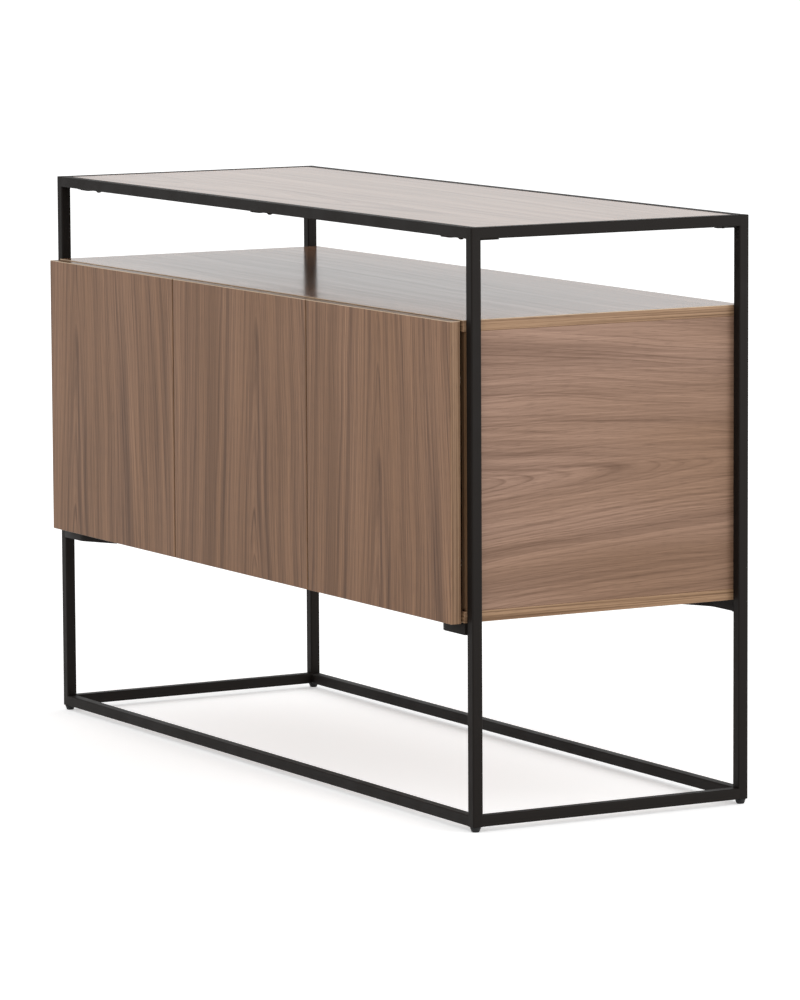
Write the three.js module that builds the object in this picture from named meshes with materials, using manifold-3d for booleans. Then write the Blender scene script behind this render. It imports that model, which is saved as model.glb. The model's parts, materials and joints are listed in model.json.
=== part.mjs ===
// Office credenza: a wooden cabinet with three doors, hung in an open frame of square metal tube.
// Millimetres. +X to the right, -Y to the front, +Z up. Origin on the floor, below the middle of the whole.
import * as THREE from 'three';
import * as BufferGeometryUtils from 'three/addons/utils/BufferGeometryUtils.js';
import Module from 'manifold-3d';

const wasm = await Module();
wasm.setup();

// Frame
const FRAME_WIDTH = 1200;
const FRAME_DEPTH = 426;
const FRAME_TOP = 790;
const TUBE = 15;
const TUBE_WALL = 1.2;
const TUBE_CORNER = 2;
const LEG_CAP = 2;
const LEG_PLUG = 12;

// Glides under the legs
const GLIDE_HEIGHT = 7;
const GLIDE_RADIUS = 7.2;
const GLIDE_FOOT_RADIUS = 5.6;
const GLIDE_EDGE = 1.2;
const STEM_RADIUS = 3.9;
const STEM_LENGTH = 26;
const STEM_CLEARANCE = 0.1;

// Top board and the tabs that carry it
const TOP_BOARD_THICKNESS = 14.5;
const TOP_BOARD_CLEARANCE = 0.5;
const TAB_LENGTH = 24;
const TAB_REACH = 20;
const TAB_LAP = 9;
const TAB_THICKNESS = 2;
const TAB_FROM_LEG = 62;
const GUSSET_REACH = 30;

// Cabinet
const CABINET_TOP = 670;
const CABINET_BOTTOM = 275;
const CABINET_PROUD = 4;
const UPRIGHT_SETBACK = 5;
const BOARD = 15;
const BACK_PANEL = 5;
const BACK_INSET = 3;
const SHELF_THICKNESS = 15;
const SHELF_SETBACK = 30;
const SHELF_HEIGHT = 470;
const SHELF_CLEARANCE = 0.3;

// Doors
const DOOR_THICKNESS = 15;
const DOOR_GAP = 2.5;
const DOOR_SPACING = 3;
const DOOR_SIDE_REVEAL = 3;
const DOOR_TOP_REVEAL = 1;
const DOOR_DROP = 1;

// Corner brackets under the cabinet
const BRACKET_REACH = 55;
const BRACKET_PLATE = 2.5;
const BRACKET_FLANGE = 16;
const BRACKET_ARM_LENGTH = 60;
const BRACKET_ARM_WIDTH = 40;
const BRACKET_ARM_ANGLE = Math.PI / 6;
const BRACKET_BACK_INSET = 12;
const BRACKET_HOLE_RADIUS = 2.6;
const BRACKET_HOLE_SPACING = 26;

// Hinges: distances from the door's hinge edge inward, and from its back face forward
const HINGE_FROM_END = 78;
const PIN_IN = 6;
const PIN_DEPTH = 9.2;
const PIN_RADIUS = 1;
const PIN_CLEARANCE = 0.1;
const CUP_RADIUS = 17.5;
const CUP_WALL = 0.8;
const CUP_DEPTH = 12.5;
const CUP_FROM_EDGE = 2.6;
const CUP_CLEARANCE = 0.25;
const CUP_FLANGE = 1.2;
const CUP_FLANGE_RADIUS = 19;
const CUP_EAR_LENGTH = 52;
const CUP_EAR_WIDTH = 15;
const ARM_THICKNESS = 1.4;
const ARM_NECK_WIDTH = 8;
const ARM_NECK_REACH = 12.5;
const ARM_EYE_RADIUS = 1.7;
const ARM_BEND = 3;
const ARM_LENGTH = 60;
const ARM_CHANNEL_START = 12;
const ARM_CHANNEL_WIDTH = 15;
const ARM_CHANNEL_DEPTH = 4;
const PLATE_LENGTH = 44;
const PLATE_WING_LENGTH = 46;
const PLATE_WING_WIDTH = 14;
const PLATE_WING_THICKNESS = 1.4;
const PLATE_CLEARANCE = 0.3;

// Push latches
const LATCH_WIDTH = 18;
const LATCH_HEIGHT = 15;
const LATCH_LENGTH = 58;
const LATCH_SETBACK = 1.5;
const LATCH_FROM_EDGE = 34;
const PLUNGER_RADIUS = 4.6;
const PLUNGER_LENGTH = 46;
const PLUNGER_BORE_CLEARANCE = 0.1;
const PLUNGER_DOOR_CLEARANCE = 0.3;
const PLUNGER_TIP_RADIUS = 3.6;
const PLUNGER_TIP_LENGTH = 2;
const PLUNGER_SPRING_SPACE = 6;

// Film of paint or lacquer between pieces that are screwed together
const SEAT_GAP = 0.05;

// Facets
const ROUND = 24;
const SMALL_ROUND = 16;
const CORNER_STEPS = 3;

// Materials
const blackPaint = () => new THREE.MeshStandardMaterial({ color: 0x242322, roughness: 0.55, metalness: 0.3 });
const veneer = () => new THREE.MeshStandardMaterial({ color: 0x8a6a52, roughness: 0.45, metalness: 0 });
const nickel = () => new THREE.MeshStandardMaterial({ color: 0xb9b9b6, roughness: 0.3, metalness: 1 });
const greyPlastic = () => new THREE.MeshStandardMaterial({ color: 0x8b8c8e, roughness: 0.6, metalness: 0 });
const whitePlastic = () => new THREE.MeshStandardMaterial({ color: 0xdedcd6, roughness: 0.5, metalness: 0 });
const blackPlastic = () => new THREE.MeshStandardMaterial({ color: 0x161616, roughness: 0.7, metalness: 0 });

// Places that several pieces share
const HALF_WIDTH = FRAME_WIDTH / 2;
const HALF_DEPTH = FRAME_DEPTH / 2;
const INNER_X = HALF_WIDTH - TUBE;
const INNER_Y = HALF_DEPTH - TUBE;
const CABINET_FRONT = -HALF_DEPTH - CABINET_PROUD;
const CABINET_BACK = HALF_DEPTH;
const BAY_BOTTOM = CABINET_BOTTOM + BOARD;
const BAY_TOP = CABINET_TOP - BOARD;
const BAY_X = INNER_X - BOARD;
const BACK_PANEL_FRONT = CABINET_BACK - BACK_INSET - BACK_PANEL;
const DOOR_BACK = CABINET_FRONT - DOOR_GAP;
const DOOR_BOTTOM = CABINET_BOTTOM - DOOR_DROP;
const DOOR_TOP = CABINET_TOP - DOOR_TOP_REVEAL;
const DOORS_X = INNER_X - DOOR_SIDE_REVEAL;
const DOOR_WIDTH = (2 * DOORS_X - 2 * DOOR_SPACING) / 3;
const MEETING_X = (DOOR_WIDTH + DOOR_SPACING) / 2;
const CUP_IN = CUP_FROM_EDGE + CUP_RADIUS;
const HINGE_HEIGHTS = { lower: DOOR_BOTTOM + HINGE_FROM_END, upper: DOOR_TOP - HINGE_FROM_END };

const model = new THREE.Group();

function place(name, geometry, material) {
  const mesh = new THREE.Mesh(geometry, material);
  mesh.name = name;
  model.add(mesh);
  return mesh;
}

// A solid for joining and cutting, from a closed geometry
function solid(geometry) {
  const bare = geometry.clone();
  bare.deleteAttribute('normal');
  bare.deleteAttribute('uv');
  const merged = BufferGeometryUtils.mergeVertices(bare, 1e-4);
  const vertProperties = new Float32Array(merged.attributes.position.array);
  const triVerts = new Uint32Array(merged.index.array);
  return new wasm.Manifold(new wasm.Mesh({ numProp: 3, vertProperties, triVerts }));
}

function shapeOf(body) {
  const mesh = body.getMesh();
  const geometry = new THREE.BufferGeometry();
  geometry.setAttribute('position', new THREE.BufferAttribute(new Float32Array(mesh.vertProperties), 3));
  geometry.setIndex(new THREE.BufferAttribute(new Uint32Array(mesh.triVerts), 1));
  geometry.computeVertexNormals();
  return geometry;
}

// A block between two corners
function block(x0, x1, y0, y1, z0, z1) {
  const geometry = new THREE.BoxGeometry(2, 2, 2);
  const corners = geometry.attributes.position;
  for (let i = 0; i < corners.count; i += 1) {
    const x = corners.getX(i) < 0 ? x0 : x1;
    const y = corners.getY(i) < 0 ? y0 : y1;
    const z = corners.getZ(i) < 0 ? z0 : z1;
    corners.setXYZ(i, x, y, z);
  }
  return geometry;
}

// An outline in X and Y, raised from z0 to z1
function raised(outline, z0, z1) {
  const geometry = new THREE.ExtrudeGeometry(outline, {
    depth: z1 - z0,
    bevelEnabled: false,
    curveSegments: CORNER_STEPS,
  });
  geometry.translate(0, 0, z0);
  return geometry;
}

function polygon(points) {
  return new THREE.Shape(points.map(([x, y]) => new THREE.Vector2(x, y)));
}

// A cylinder along Z, centred on x, y
function rod(radius, x, y, z0, z1, sides) {
  const geometry = new THREE.CylinderGeometry(radius, radius, z1 - z0, sides);
  geometry.rotateX(Math.PI / 2);
  geometry.translate(x, y, (z0 + z1) / 2);
  return geometry;
}

// The tube's section: a square with rounded corners, centred on the tube's axis
function squareOutline(side, corner) {
  const half = side / 2;
  const outline = new THREE.Shape();
  outline.moveTo(-half + corner, -half);
  outline.lineTo(half - corner, -half);
  outline.absarc(half - corner, -half + corner, corner, -Math.PI / 2, 0, false);
  outline.lineTo(half, half - corner);
  outline.absarc(half - corner, half - corner, corner, 0, Math.PI / 2, false);
  outline.lineTo(-half + corner, half);
  outline.absarc(-half + corner, half - corner, corner, Math.PI / 2, Math.PI, false);
  outline.lineTo(-half, -half + corner);
  outline.absarc(-half + corner, -half + corner, corner, Math.PI, 1.5 * Math.PI, false);
  outline.closePath();
  return outline;
}

// An open tube along Z from z0 to z1
function tubeAlongZ(z0, z1) {
  const outer = raised(squareOutline(TUBE, TUBE_CORNER), z0, z1);
  const bore = squareOutline(TUBE - 2 * TUBE_WALL, TUBE_CORNER - TUBE_WALL);
  const inner = raised(bore, z0 - TUBE_WALL, z1 + TUBE_WALL);
  return { outer, inner, bore };
}

function openTube(length) {
  const { outer, inner } = tubeAlongZ(-length / 2, length / 2);
  return shapeOf(solid(outer).subtract(solid(inner)));
}

// Legs: closed at the top, with a threaded plug in the foot for the glide's stem
function leg(name, x, y) {
  const { outer, bore } = tubeAlongZ(GLIDE_HEIGHT, FRAME_TOP);
  const hollow = raised(bore, GLIDE_HEIGHT + LEG_PLUG, FRAME_TOP - LEG_CAP);
  const thread = rod(STEM_RADIUS + STEM_CLEARANCE, 0, 0, 0, GLIDE_HEIGHT + 2 * LEG_PLUG, SMALL_ROUND);
  const body = solid(outer).subtract(solid(hollow)).subtract(solid(thread));
  place(name, shapeOf(body), blackPaint()).position.set(x, y, 0);
}

const LEG_X = HALF_WIDTH - TUBE / 2;
const LEG_Y = HALF_DEPTH - TUBE / 2;
leg('leg_front_left', -LEG_X, -LEG_Y);
leg('leg_front_right', LEG_X, -LEG_Y);
leg('leg_back_left', -LEG_X, LEG_Y);
leg('leg_back_right', LEG_X, LEG_Y);

// Bottom rails: plain tubes between the legs
const BOTTOM_RAIL_Z = GLIDE_HEIGHT + TUBE / 2;
const longTube = () => openTube(2 * INNER_X).rotateY(Math.PI / 2);
const shortTube = () => openTube(2 * INNER_Y).rotateX(Math.PI / 2);
place('rail_bottom_front', longTube(), blackPaint()).position.set(0, -LEG_Y, BOTTOM_RAIL_Z);
place('rail_bottom_back', longTube(), blackPaint()).position.set(0, LEG_Y, BOTTOM_RAIL_Z);
place('rail_bottom_left', shortTube(), blackPaint()).position.set(-LEG_X, 0, BOTTOM_RAIL_Z);
place('rail_bottom_right', shortTube(), blackPaint()).position.set(LEG_X, 0, BOTTOM_RAIL_Z);

// Top rails, with welded tabs below them that reach in under the top board.
// Each is drawn with the board on its +Y side.
const TOP_RAIL_Z = FRAME_TOP - TUBE / 2;
const TAB_FROM_AXIS = TUBE / 2 - TAB_LAP;
const TAB_INNER = TUBE / 2 + TAB_REACH;
const RAIL_BOTTOM = -TUBE / 2;

function longTopRail() {
  const firstTab = INNER_X - TAB_FROM_LEG;
  let body = solid(openTube(2 * INNER_X).rotateY(Math.PI / 2));
  for (const x of [-firstTab, 0, firstTab]) {
    const tab = block(x - TAB_LENGTH / 2, x + TAB_LENGTH / 2, TAB_FROM_AXIS, TAB_INNER,
      RAIL_BOTTOM - TAB_THICKNESS, RAIL_BOTTOM);
    body = body.add(solid(tab));
  }
  return shapeOf(body);
}

// Short top rails carry a three-cornered gusset at each end instead
function shortTopRail() {
  let body = solid(openTube(2 * INNER_Y).rotateX(Math.PI / 2).rotateZ(Math.PI / 2));
  for (const end of [-1, 1]) {
    const gusset = polygon([
      [end * INNER_Y, TAB_FROM_AXIS],
      [end * INNER_Y, TUBE / 2 + GUSSET_REACH],
      [end * (INNER_Y - GUSSET_REACH), TUBE / 2],
      [end * (INNER_Y - GUSSET_REACH), TAB_FROM_AXIS],
    ]);
    body = body.add(solid(raised(gusset, RAIL_BOTTOM - TAB_THICKNESS, RAIL_BOTTOM)));
  }
  return shapeOf(body);
}

place('rail_top_front', longTopRail(), blackPaint()).position.set(0, -LEG_Y, TOP_RAIL_Z);
const railTopBack = place('rail_top_back', longTopRail(), blackPaint());
railTopBack.position.set(0, LEG_Y, TOP_RAIL_Z);
railTopBack.rotation.z = Math.PI;
const railTopLeft = place('rail_top_left', shortTopRail(), blackPaint());
railTopLeft.position.set(-LEG_X, 0, TOP_RAIL_Z);
railTopLeft.rotation.z = -Math.PI / 2;
const railTopRight = place('rail_top_right', shortTopRail(), blackPaint());
railTopRight.position.set(LEG_X, 0, TOP_RAIL_Z);
railTopRight.rotation.z = Math.PI / 2;

// Top board, let in between the top rails and resting on their tabs
const TOP_BOARD_X = INNER_X - TOP_BOARD_CLEARANCE;
const TOP_BOARD_Y = INNER_Y - TOP_BOARD_CLEARANCE;
const TOP_BOARD_BOTTOM = FRAME_TOP - TUBE + SEAT_GAP;
place('top_board', block(-TOP_BOARD_X, TOP_BOARD_X, -TOP_BOARD_Y, TOP_BOARD_Y,
  TOP_BOARD_BOTTOM, TOP_BOARD_BOTTOM + TOP_BOARD_THICKNESS), veneer());

// Glides: a pad with a rounded foot, and a stem that screws into the leg's plug
function glide() {
  const profile = [
    [0, 0],
    [GLIDE_FOOT_RADIUS - GLIDE_EDGE, 0],
    [GLIDE_FOOT_RADIUS, GLIDE_EDGE],
    [GLIDE_RADIUS, GLIDE_HEIGHT - GLIDE_EDGE],
    [GLIDE_RADIUS, GLIDE_HEIGHT],
    [STEM_RADIUS, GLIDE_HEIGHT],
    [STEM_RADIUS, GLIDE_HEIGHT + STEM_LENGTH],
    [0, GLIDE_HEIGHT + STEM_LENGTH],
  ];
  const geometry = new THREE.LatheGeometry(profile.map(([r, z]) => new THREE.Vector2(r, z)), SMALL_ROUND);
  geometry.rotateX(Math.PI / 2);
  return geometry;
}

place('glide_front_left', glide(), blackPlastic()).position.set(-LEG_X, -LEG_Y, 0);
place('glide_front_right', glide(), blackPlastic()).position.set(LEG_X, -LEG_Y, 0);
place('glide_back_left', glide(), blackPlastic()).position.set(-LEG_X, LEG_Y, 0);
place('glide_back_right', glide(), blackPlastic()).position.set(LEG_X, LEG_Y, 0);

// Corner brackets: a plate below the cabinet that runs in from the leg and turns towards the middle.
// Its outer edge is folded down, and a lip stands against the leg. Drawn for the front left corner,
// with the folded edge set back from the frame's face by the inset.
function bracket(inset) {
  const x0 = -INNER_X + SEAT_GAP;
  const y0 = -HALF_DEPTH + inset;
  const z1 = CABINET_BOTTOM - SEAT_GAP;
  const z0 = z1 - BRACKET_FLANGE;
  const along = new THREE.Vector2(Math.cos(BRACKET_ARM_ANGLE), Math.sin(BRACKET_ARM_ANGLE));
  const inward = new THREE.Vector2(-along.y, along.x);
  const start = new THREE.Vector2(x0, y0);
  const corner = new THREE.Vector2(-INNER_X + BRACKET_REACH, y0);
  const tip = corner.clone().addScaledVector(along, BRACKET_ARM_LENGTH);
  const innerTip = tip.clone().addScaledVector(inward, BRACKET_ARM_WIDTH);
  const plate = new THREE.Shape([start, corner, tip, innerTip, new THREE.Vector2(x0, y0 + TUBE)]);
  const miter = BRACKET_PLATE * Math.tan(BRACKET_ARM_ANGLE / 2);
  const fold = new THREE.Shape([start, corner, tip, tip.clone().addScaledVector(inward, BRACKET_PLATE),
    new THREE.Vector2(corner.x - miter, y0 + BRACKET_PLATE), new THREE.Vector2(x0, y0 + BRACKET_PLATE)]);
  const lip = block(x0, x0 + BRACKET_PLATE, -HALF_DEPTH, -INNER_Y, z0, z1);
  let body = solid(raised(plate, z1 - BRACKET_PLATE, z1)).add(solid(raised(fold, z0, z1))).add(solid(lip));
  for (const side of [-1, 1]) {
    const centre = corner.clone()
      .addScaledVector(along, (BRACKET_ARM_LENGTH + side * BRACKET_HOLE_SPACING) / 2)
      .addScaledVector(inward, BRACKET_ARM_WIDTH / 2);
    const hole = rod(BRACKET_HOLE_RADIUS, centre.x, centre.y, z0, z1 + BRACKET_PLATE, SMALL_ROUND);
    body = body.subtract(solid(hole));
  }
  return shapeOf(body);
}

// The mirror image of a closed geometry about X = 0 or Y = 0, with its faces turned back outwards
function mirrored(geometry, acrossX, acrossY) {
  const copy = geometry.clone();
  copy.scale(acrossX ? -1 : 1, acrossY ? -1 : 1, 1);
  if (acrossX !== acrossY) {
    const index = copy.index.array;
    for (let i = 0; i < index.length; i += 3) {
      const second = index[i + 1];
      index[i + 1] = index[i + 2];
      index[i + 2] = second;
    }
  }
  copy.computeVertexNormals();
  return copy;
}

place('bracket_front_left', bracket(0), blackPaint());
place('bracket_front_right', mirrored(bracket(0), true, false), blackPaint());
place('bracket_back_left', mirrored(bracket(BRACKET_BACK_INSET), false, true), blackPaint());
place('bracket_back_right', mirrored(bracket(BRACKET_BACK_INSET), true, true), blackPaint());

// Cabinet boards: top and bottom lie over and under the sides, whose front edges stand back a little
const UPRIGHT_FRONT = CABINET_FRONT + UPRIGHT_SETBACK;
place('cabinet_top', block(-INNER_X, INNER_X, CABINET_FRONT, CABINET_BACK, BAY_TOP, CABINET_TOP), veneer());
place('cabinet_bottom', block(-INNER_X, INNER_X, CABINET_FRONT, CABINET_BACK,
  CABINET_BOTTOM, BAY_BOTTOM), veneer());
place('cabinet_side_left', block(-INNER_X, -BAY_X, UPRIGHT_FRONT, CABINET_BACK,
  BAY_BOTTOM, BAY_TOP), veneer());
place('cabinet_side_right', block(BAY_X, INNER_X, UPRIGHT_FRONT, CABINET_BACK,
  BAY_BOTTOM, BAY_TOP), veneer());
const PARTITION_LEFT = MEETING_X - BOARD / 2;
const PARTITION_RIGHT = MEETING_X + BOARD / 2;
place('cabinet_partition', block(PARTITION_LEFT, PARTITION_RIGHT, UPRIGHT_FRONT, BACK_PANEL_FRONT,
  BAY_BOTTOM, BAY_TOP), veneer());
place('cabinet_back', block(-BAY_X, BAY_X, BACK_PANEL_FRONT, BACK_PANEL_FRONT + BACK_PANEL,
  BAY_BOTTOM, BAY_TOP), veneer());
const SHELF_TOP = SHELF_HEIGHT + SHELF_THICKNESS;
place('shelf_left', block(-BAY_X + SHELF_CLEARANCE, PARTITION_LEFT - SHELF_CLEARANCE,
  CABINET_FRONT + SHELF_SETBACK, BACK_PANEL_FRONT - SHELF_CLEARANCE,
  SHELF_HEIGHT, SHELF_TOP), veneer());
place('shelf_right', block(PARTITION_RIGHT + SHELF_CLEARANCE, BAY_X - SHELF_CLEARANCE,
  CABINET_FRONT + SHELF_SETBACK, BACK_PANEL_FRONT - SHELF_CLEARANCE,
  SHELF_HEIGHT, SHELF_TOP), veneer());

// A hinge frame: local X runs from the door's hinge edge inward, local -Y is forward,
// local Z is up from the hinge's middle. turned = true for doors hinged on their right edge.
function cupBore() {
  const radius = CUP_RADIUS + CUP_CLEARANCE;
  const bore = new THREE.CylinderGeometry(radius, radius, 2 * (CUP_DEPTH + CUP_CLEARANCE), ROUND);
  bore.translate(CUP_IN, 0, 0);
  return bore;
}

function door(name, left, hingedRight) {
  let body = solid(block(left, left + DOOR_WIDTH, DOOR_BACK - DOOR_THICKNESS, DOOR_BACK,
    DOOR_BOTTOM, DOOR_TOP));
  for (const z of Object.values(HINGE_HEIGHTS)) {
    const bore = hingedRight ? cupBore().rotateZ(Math.PI) : cupBore();
    bore.translate(hingedRight ? left + DOOR_WIDTH : left, DOOR_BACK, z);
    body = body.subtract(solid(bore));
  }
  place(name, shapeOf(body), veneer());
}

const DOOR_1_LEFT = -DOORS_X;
const DOOR_2_LEFT = DOOR_1_LEFT + DOOR_WIDTH + DOOR_SPACING;
const DOOR_3_LEFT = DOOR_2_LEFT + DOOR_WIDTH + DOOR_SPACING;
door('door_left', DOOR_1_LEFT, false);
door('door_middle', DOOR_2_LEFT, true);
door('door_right', DOOR_3_LEFT, true);

// Cup: a pressed pot in the door's bore, with a flange and two ears on the door's back, and the pin
function cup() {
  const inner = CUP_RADIUS - CUP_WALL;
  const profile = [
    [0, -CUP_DEPTH],
    [CUP_RADIUS, -CUP_DEPTH],
    [CUP_RADIUS, SEAT_GAP],
    [CUP_FLANGE_RADIUS, SEAT_GAP],
    [CUP_FLANGE_RADIUS, SEAT_GAP + CUP_FLANGE],
    [inner, SEAT_GAP + CUP_FLANGE],
    [inner, -CUP_DEPTH + CUP_WALL],
    [0, -CUP_DEPTH + CUP_WALL],
  ];
  const pot = new THREE.LatheGeometry(profile.map(([r, y]) => new THREE.Vector2(r, y)), ROUND);
  pot.translate(CUP_IN, 0, 0);
  const earHalf = CUP_EAR_WIDTH / 2;
  const ears = solid(block(CUP_IN - earHalf, CUP_IN + earHalf, SEAT_GAP, SEAT_GAP + CUP_FLANGE,
    -CUP_EAR_LENGTH / 2, CUP_EAR_LENGTH / 2));
  const mouth = new THREE.CylinderGeometry(inner, inner, 2 * CUP_DEPTH, ROUND);
  mouth.translate(CUP_IN, CUP_FLANGE, 0);
  const midWall = CUP_RADIUS - CUP_WALL / 2;
  const pinEnds = new THREE.CylinderGeometry(midWall, midWall, 2 * CUP_DEPTH, ROUND);
  pinEnds.translate(CUP_IN, 0, 0);
  const pin = solid(rod(PIN_RADIUS, PIN_IN, -PIN_DEPTH, -CUP_RADIUS, CUP_RADIUS, SMALL_ROUND));
  return shapeOf(solid(pot).add(ears.subtract(solid(mouth))).add(pin.intersect(solid(pinEnds))));
}

// Arm: an eye on the pin, a neck that bends out of the cup, and a channel over the mounting plate
const ARM_IN = PIN_IN + ARM_NECK_REACH;
const ARM_TOP = ARM_IN + ARM_THICKNESS / 2;
const ARM_SEAT = ARM_TOP - ARM_THICKNESS;
const CHANNEL_START = DOOR_GAP + ARM_CHANNEL_START;
const CHANNEL_END = DOOR_GAP + ARM_LENGTH;

function arm() {
  const half = ARM_THICKNESS / 2;
  const inside = ARM_BEND;
  const outside = ARM_BEND + ARM_THICKNESS;
  const neck = new THREE.Shape();
  neck.moveTo(PIN_IN, -PIN_DEPTH - half);
  neck.lineTo(ARM_TOP - outside, -PIN_DEPTH - half);
  neck.absarc(ARM_TOP - outside, -PIN_DEPTH - half + outside, outside, -Math.PI / 2, 0, false);
  neck.lineTo(ARM_TOP, CHANNEL_END);
  neck.lineTo(ARM_SEAT, CHANNEL_END);
  neck.lineTo(ARM_SEAT, -PIN_DEPTH + half + inside);
  neck.absarc(ARM_SEAT - inside, -PIN_DEPTH + half + inside, inside, 0, -Math.PI / 2, true);
  neck.lineTo(PIN_IN, -PIN_DEPTH + half);
  neck.closePath();
  const neckHalf = ARM_NECK_WIDTH / 2;
  const channelHalf = ARM_CHANNEL_WIDTH / 2;
  const channel = solid(block(ARM_SEAT - ARM_CHANNEL_DEPTH, ARM_TOP, CHANNEL_START, CHANNEL_END,
    -channelHalf, channelHalf));
  const channelInside = channelHalf - ARM_THICKNESS;
  const hollow = solid(block(ARM_SEAT - 2 * ARM_CHANNEL_DEPTH, ARM_SEAT, CHANNEL_START - ARM_LENGTH,
    CHANNEL_END + ARM_LENGTH, -channelInside, channelInside));
  const eye = solid(rod(ARM_EYE_RADIUS, PIN_IN, -PIN_DEPTH, -neckHalf, neckHalf, SMALL_ROUND));
  const eyeHole = solid(rod(PIN_RADIUS + PIN_CLEARANCE, PIN_IN, -PIN_DEPTH,
    -ARM_NECK_WIDTH, ARM_NECK_WIDTH, SMALL_ROUND));
  const neckBody = solid(raised(neck, -neckHalf, neckHalf)).add(eye).subtract(eyeHole);
  return shapeOf(neckBody.add(channel.subtract(hollow)));
}

// Mounting plate: wings screwed to the board, and a raised rib inside the arm's channel.
// boardFace is the distance from the door's hinge edge to the board that carries it.
function plate(boardFace) {
  const ribHalf = ARM_CHANNEL_WIDTH / 2 - ARM_THICKNESS - PLATE_CLEARANCE;
  const middle = (CHANNEL_START + CHANNEL_END) / 2;
  const face = boardFace + SEAT_GAP;
  const rib = block(face, ARM_SEAT - SEAT_GAP, middle - PLATE_LENGTH / 2, middle + PLATE_LENGTH / 2,
    -ribHalf, ribHalf);
  const wings = block(face, face + PLATE_WING_THICKNESS,
    middle - PLATE_WING_WIDTH / 2, middle + PLATE_WING_WIDTH / 2,
    -PLATE_WING_LENGTH / 2, PLATE_WING_LENGTH / 2);
  return shapeOf(solid(rib).add(solid(wings)));
}

function hinge(doorName, edgeX, hingedRight, boardFace) {
  for (const [level, z] of Object.entries(HINGE_HEIGHTS)) {
    const pieces = [
      [`hinge_cup_${doorName}_${level}`, cup()],
      [`hinge_arm_${doorName}_${level}`, arm()],
      [`hinge_plate_${doorName}_${level}`, plate(boardFace)],
    ];
    for (const [name, geometry] of pieces) {
      const turned = hingedRight ? mirrored(geometry, true, false) : geometry;
      place(name, turned, nickel()).position.set(edgeX, DOOR_BACK, z);
    }
  }
}

const SIDE_FACE = BOARD - DOOR_SIDE_REVEAL;
const PARTITION_FACE = (BOARD - DOOR_SPACING) / 2;
hinge('left', DOOR_1_LEFT, false, SIDE_FACE);
hinge('middle', DOOR_2_LEFT + DOOR_WIDTH, true, PARTITION_FACE);
hinge('right', DOOR_3_LEFT + DOOR_WIDTH, true, SIDE_FACE);

// Push latches below the cabinet's top, near each door's free edge
const LATCH_FRONT = CABINET_FRONT + LATCH_SETBACK;
const LATCH_AXIS_Z = BAY_TOP - LATCH_HEIGHT / 2;
const PLUNGER_FRONT = DOOR_BACK + PLUNGER_DOOR_CLEARANCE;

function latch(doorName, x) {
  const half = LATCH_WIDTH / 2;
  const housing = solid(block(x - half, x + half, LATCH_FRONT, LATCH_FRONT + LATCH_LENGTH,
    BAY_TOP - LATCH_HEIGHT, BAY_TOP));
  const boreEnd = PLUNGER_FRONT + PLUNGER_LENGTH + PLUNGER_SPRING_SPACE;
  const boreLength = boreEnd - LATCH_FRONT;
  const boreRadius = PLUNGER_RADIUS + PLUNGER_BORE_CLEARANCE;
  const bore = new THREE.CylinderGeometry(boreRadius, boreRadius, 2 * boreLength, SMALL_ROUND);
  bore.translate(x, LATCH_FRONT, LATCH_AXIS_Z);
  place(`latch_housing_${doorName}`, shapeOf(housing.subtract(solid(bore))), greyPlastic());
  const profile = [
    [0, 0],
    [PLUNGER_TIP_RADIUS, 0],
    [PLUNGER_RADIUS, PLUNGER_TIP_LENGTH],
    [PLUNGER_RADIUS, PLUNGER_LENGTH],
    [0, PLUNGER_LENGTH],
  ];
  const plunger = new THREE.LatheGeometry(profile.map(([r, y]) => new THREE.Vector2(r, y)), SMALL_ROUND);
  place(`latch_plunger_${doorName}`, plunger, whitePlastic()).position.set(x, PLUNGER_FRONT, LATCH_AXIS_Z);
}

latch('left', DOOR_1_LEFT + DOOR_WIDTH - LATCH_FROM_EDGE);
latch('middle', DOOR_2_LEFT + LATCH_FROM_EDGE);
latch('right', DOOR_3_LEFT + LATCH_FROM_EDGE);

// The doors stand in front of the frame, so the whole is moved back by half of that
const MIDDLE_Y = (DOOR_BACK - DOOR_THICKNESS + CABINET_BACK) / 2;
model.position.y = -MIDDLE_Y;

export default model;
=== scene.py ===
# %% [markdown]
# # A credenza hung in a metal frame
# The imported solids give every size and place, in metres. This lesson dresses them: walnut veneer
# on the boards, powder paint on the square tube, plated steel on the hinges.

# %% Load the frame
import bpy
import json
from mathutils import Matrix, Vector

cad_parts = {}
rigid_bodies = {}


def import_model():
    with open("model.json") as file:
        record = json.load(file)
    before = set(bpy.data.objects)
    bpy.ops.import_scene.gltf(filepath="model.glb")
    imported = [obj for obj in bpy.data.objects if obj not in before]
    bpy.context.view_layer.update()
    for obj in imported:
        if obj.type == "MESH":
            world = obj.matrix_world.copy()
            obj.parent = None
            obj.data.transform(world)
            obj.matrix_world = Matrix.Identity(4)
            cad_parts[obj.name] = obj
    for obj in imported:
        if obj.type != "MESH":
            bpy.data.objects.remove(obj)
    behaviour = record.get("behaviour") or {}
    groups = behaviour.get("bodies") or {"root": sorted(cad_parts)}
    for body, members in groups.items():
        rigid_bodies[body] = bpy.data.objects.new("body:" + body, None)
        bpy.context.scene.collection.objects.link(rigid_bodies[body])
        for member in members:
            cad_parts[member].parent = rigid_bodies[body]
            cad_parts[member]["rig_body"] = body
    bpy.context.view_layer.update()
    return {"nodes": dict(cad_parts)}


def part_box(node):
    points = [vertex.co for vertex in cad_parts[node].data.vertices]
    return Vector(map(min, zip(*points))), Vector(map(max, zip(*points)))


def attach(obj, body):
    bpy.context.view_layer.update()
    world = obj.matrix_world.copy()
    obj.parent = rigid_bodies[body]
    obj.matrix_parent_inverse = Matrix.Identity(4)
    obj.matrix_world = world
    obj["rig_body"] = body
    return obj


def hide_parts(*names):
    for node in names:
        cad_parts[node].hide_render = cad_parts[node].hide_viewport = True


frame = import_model()

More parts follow.
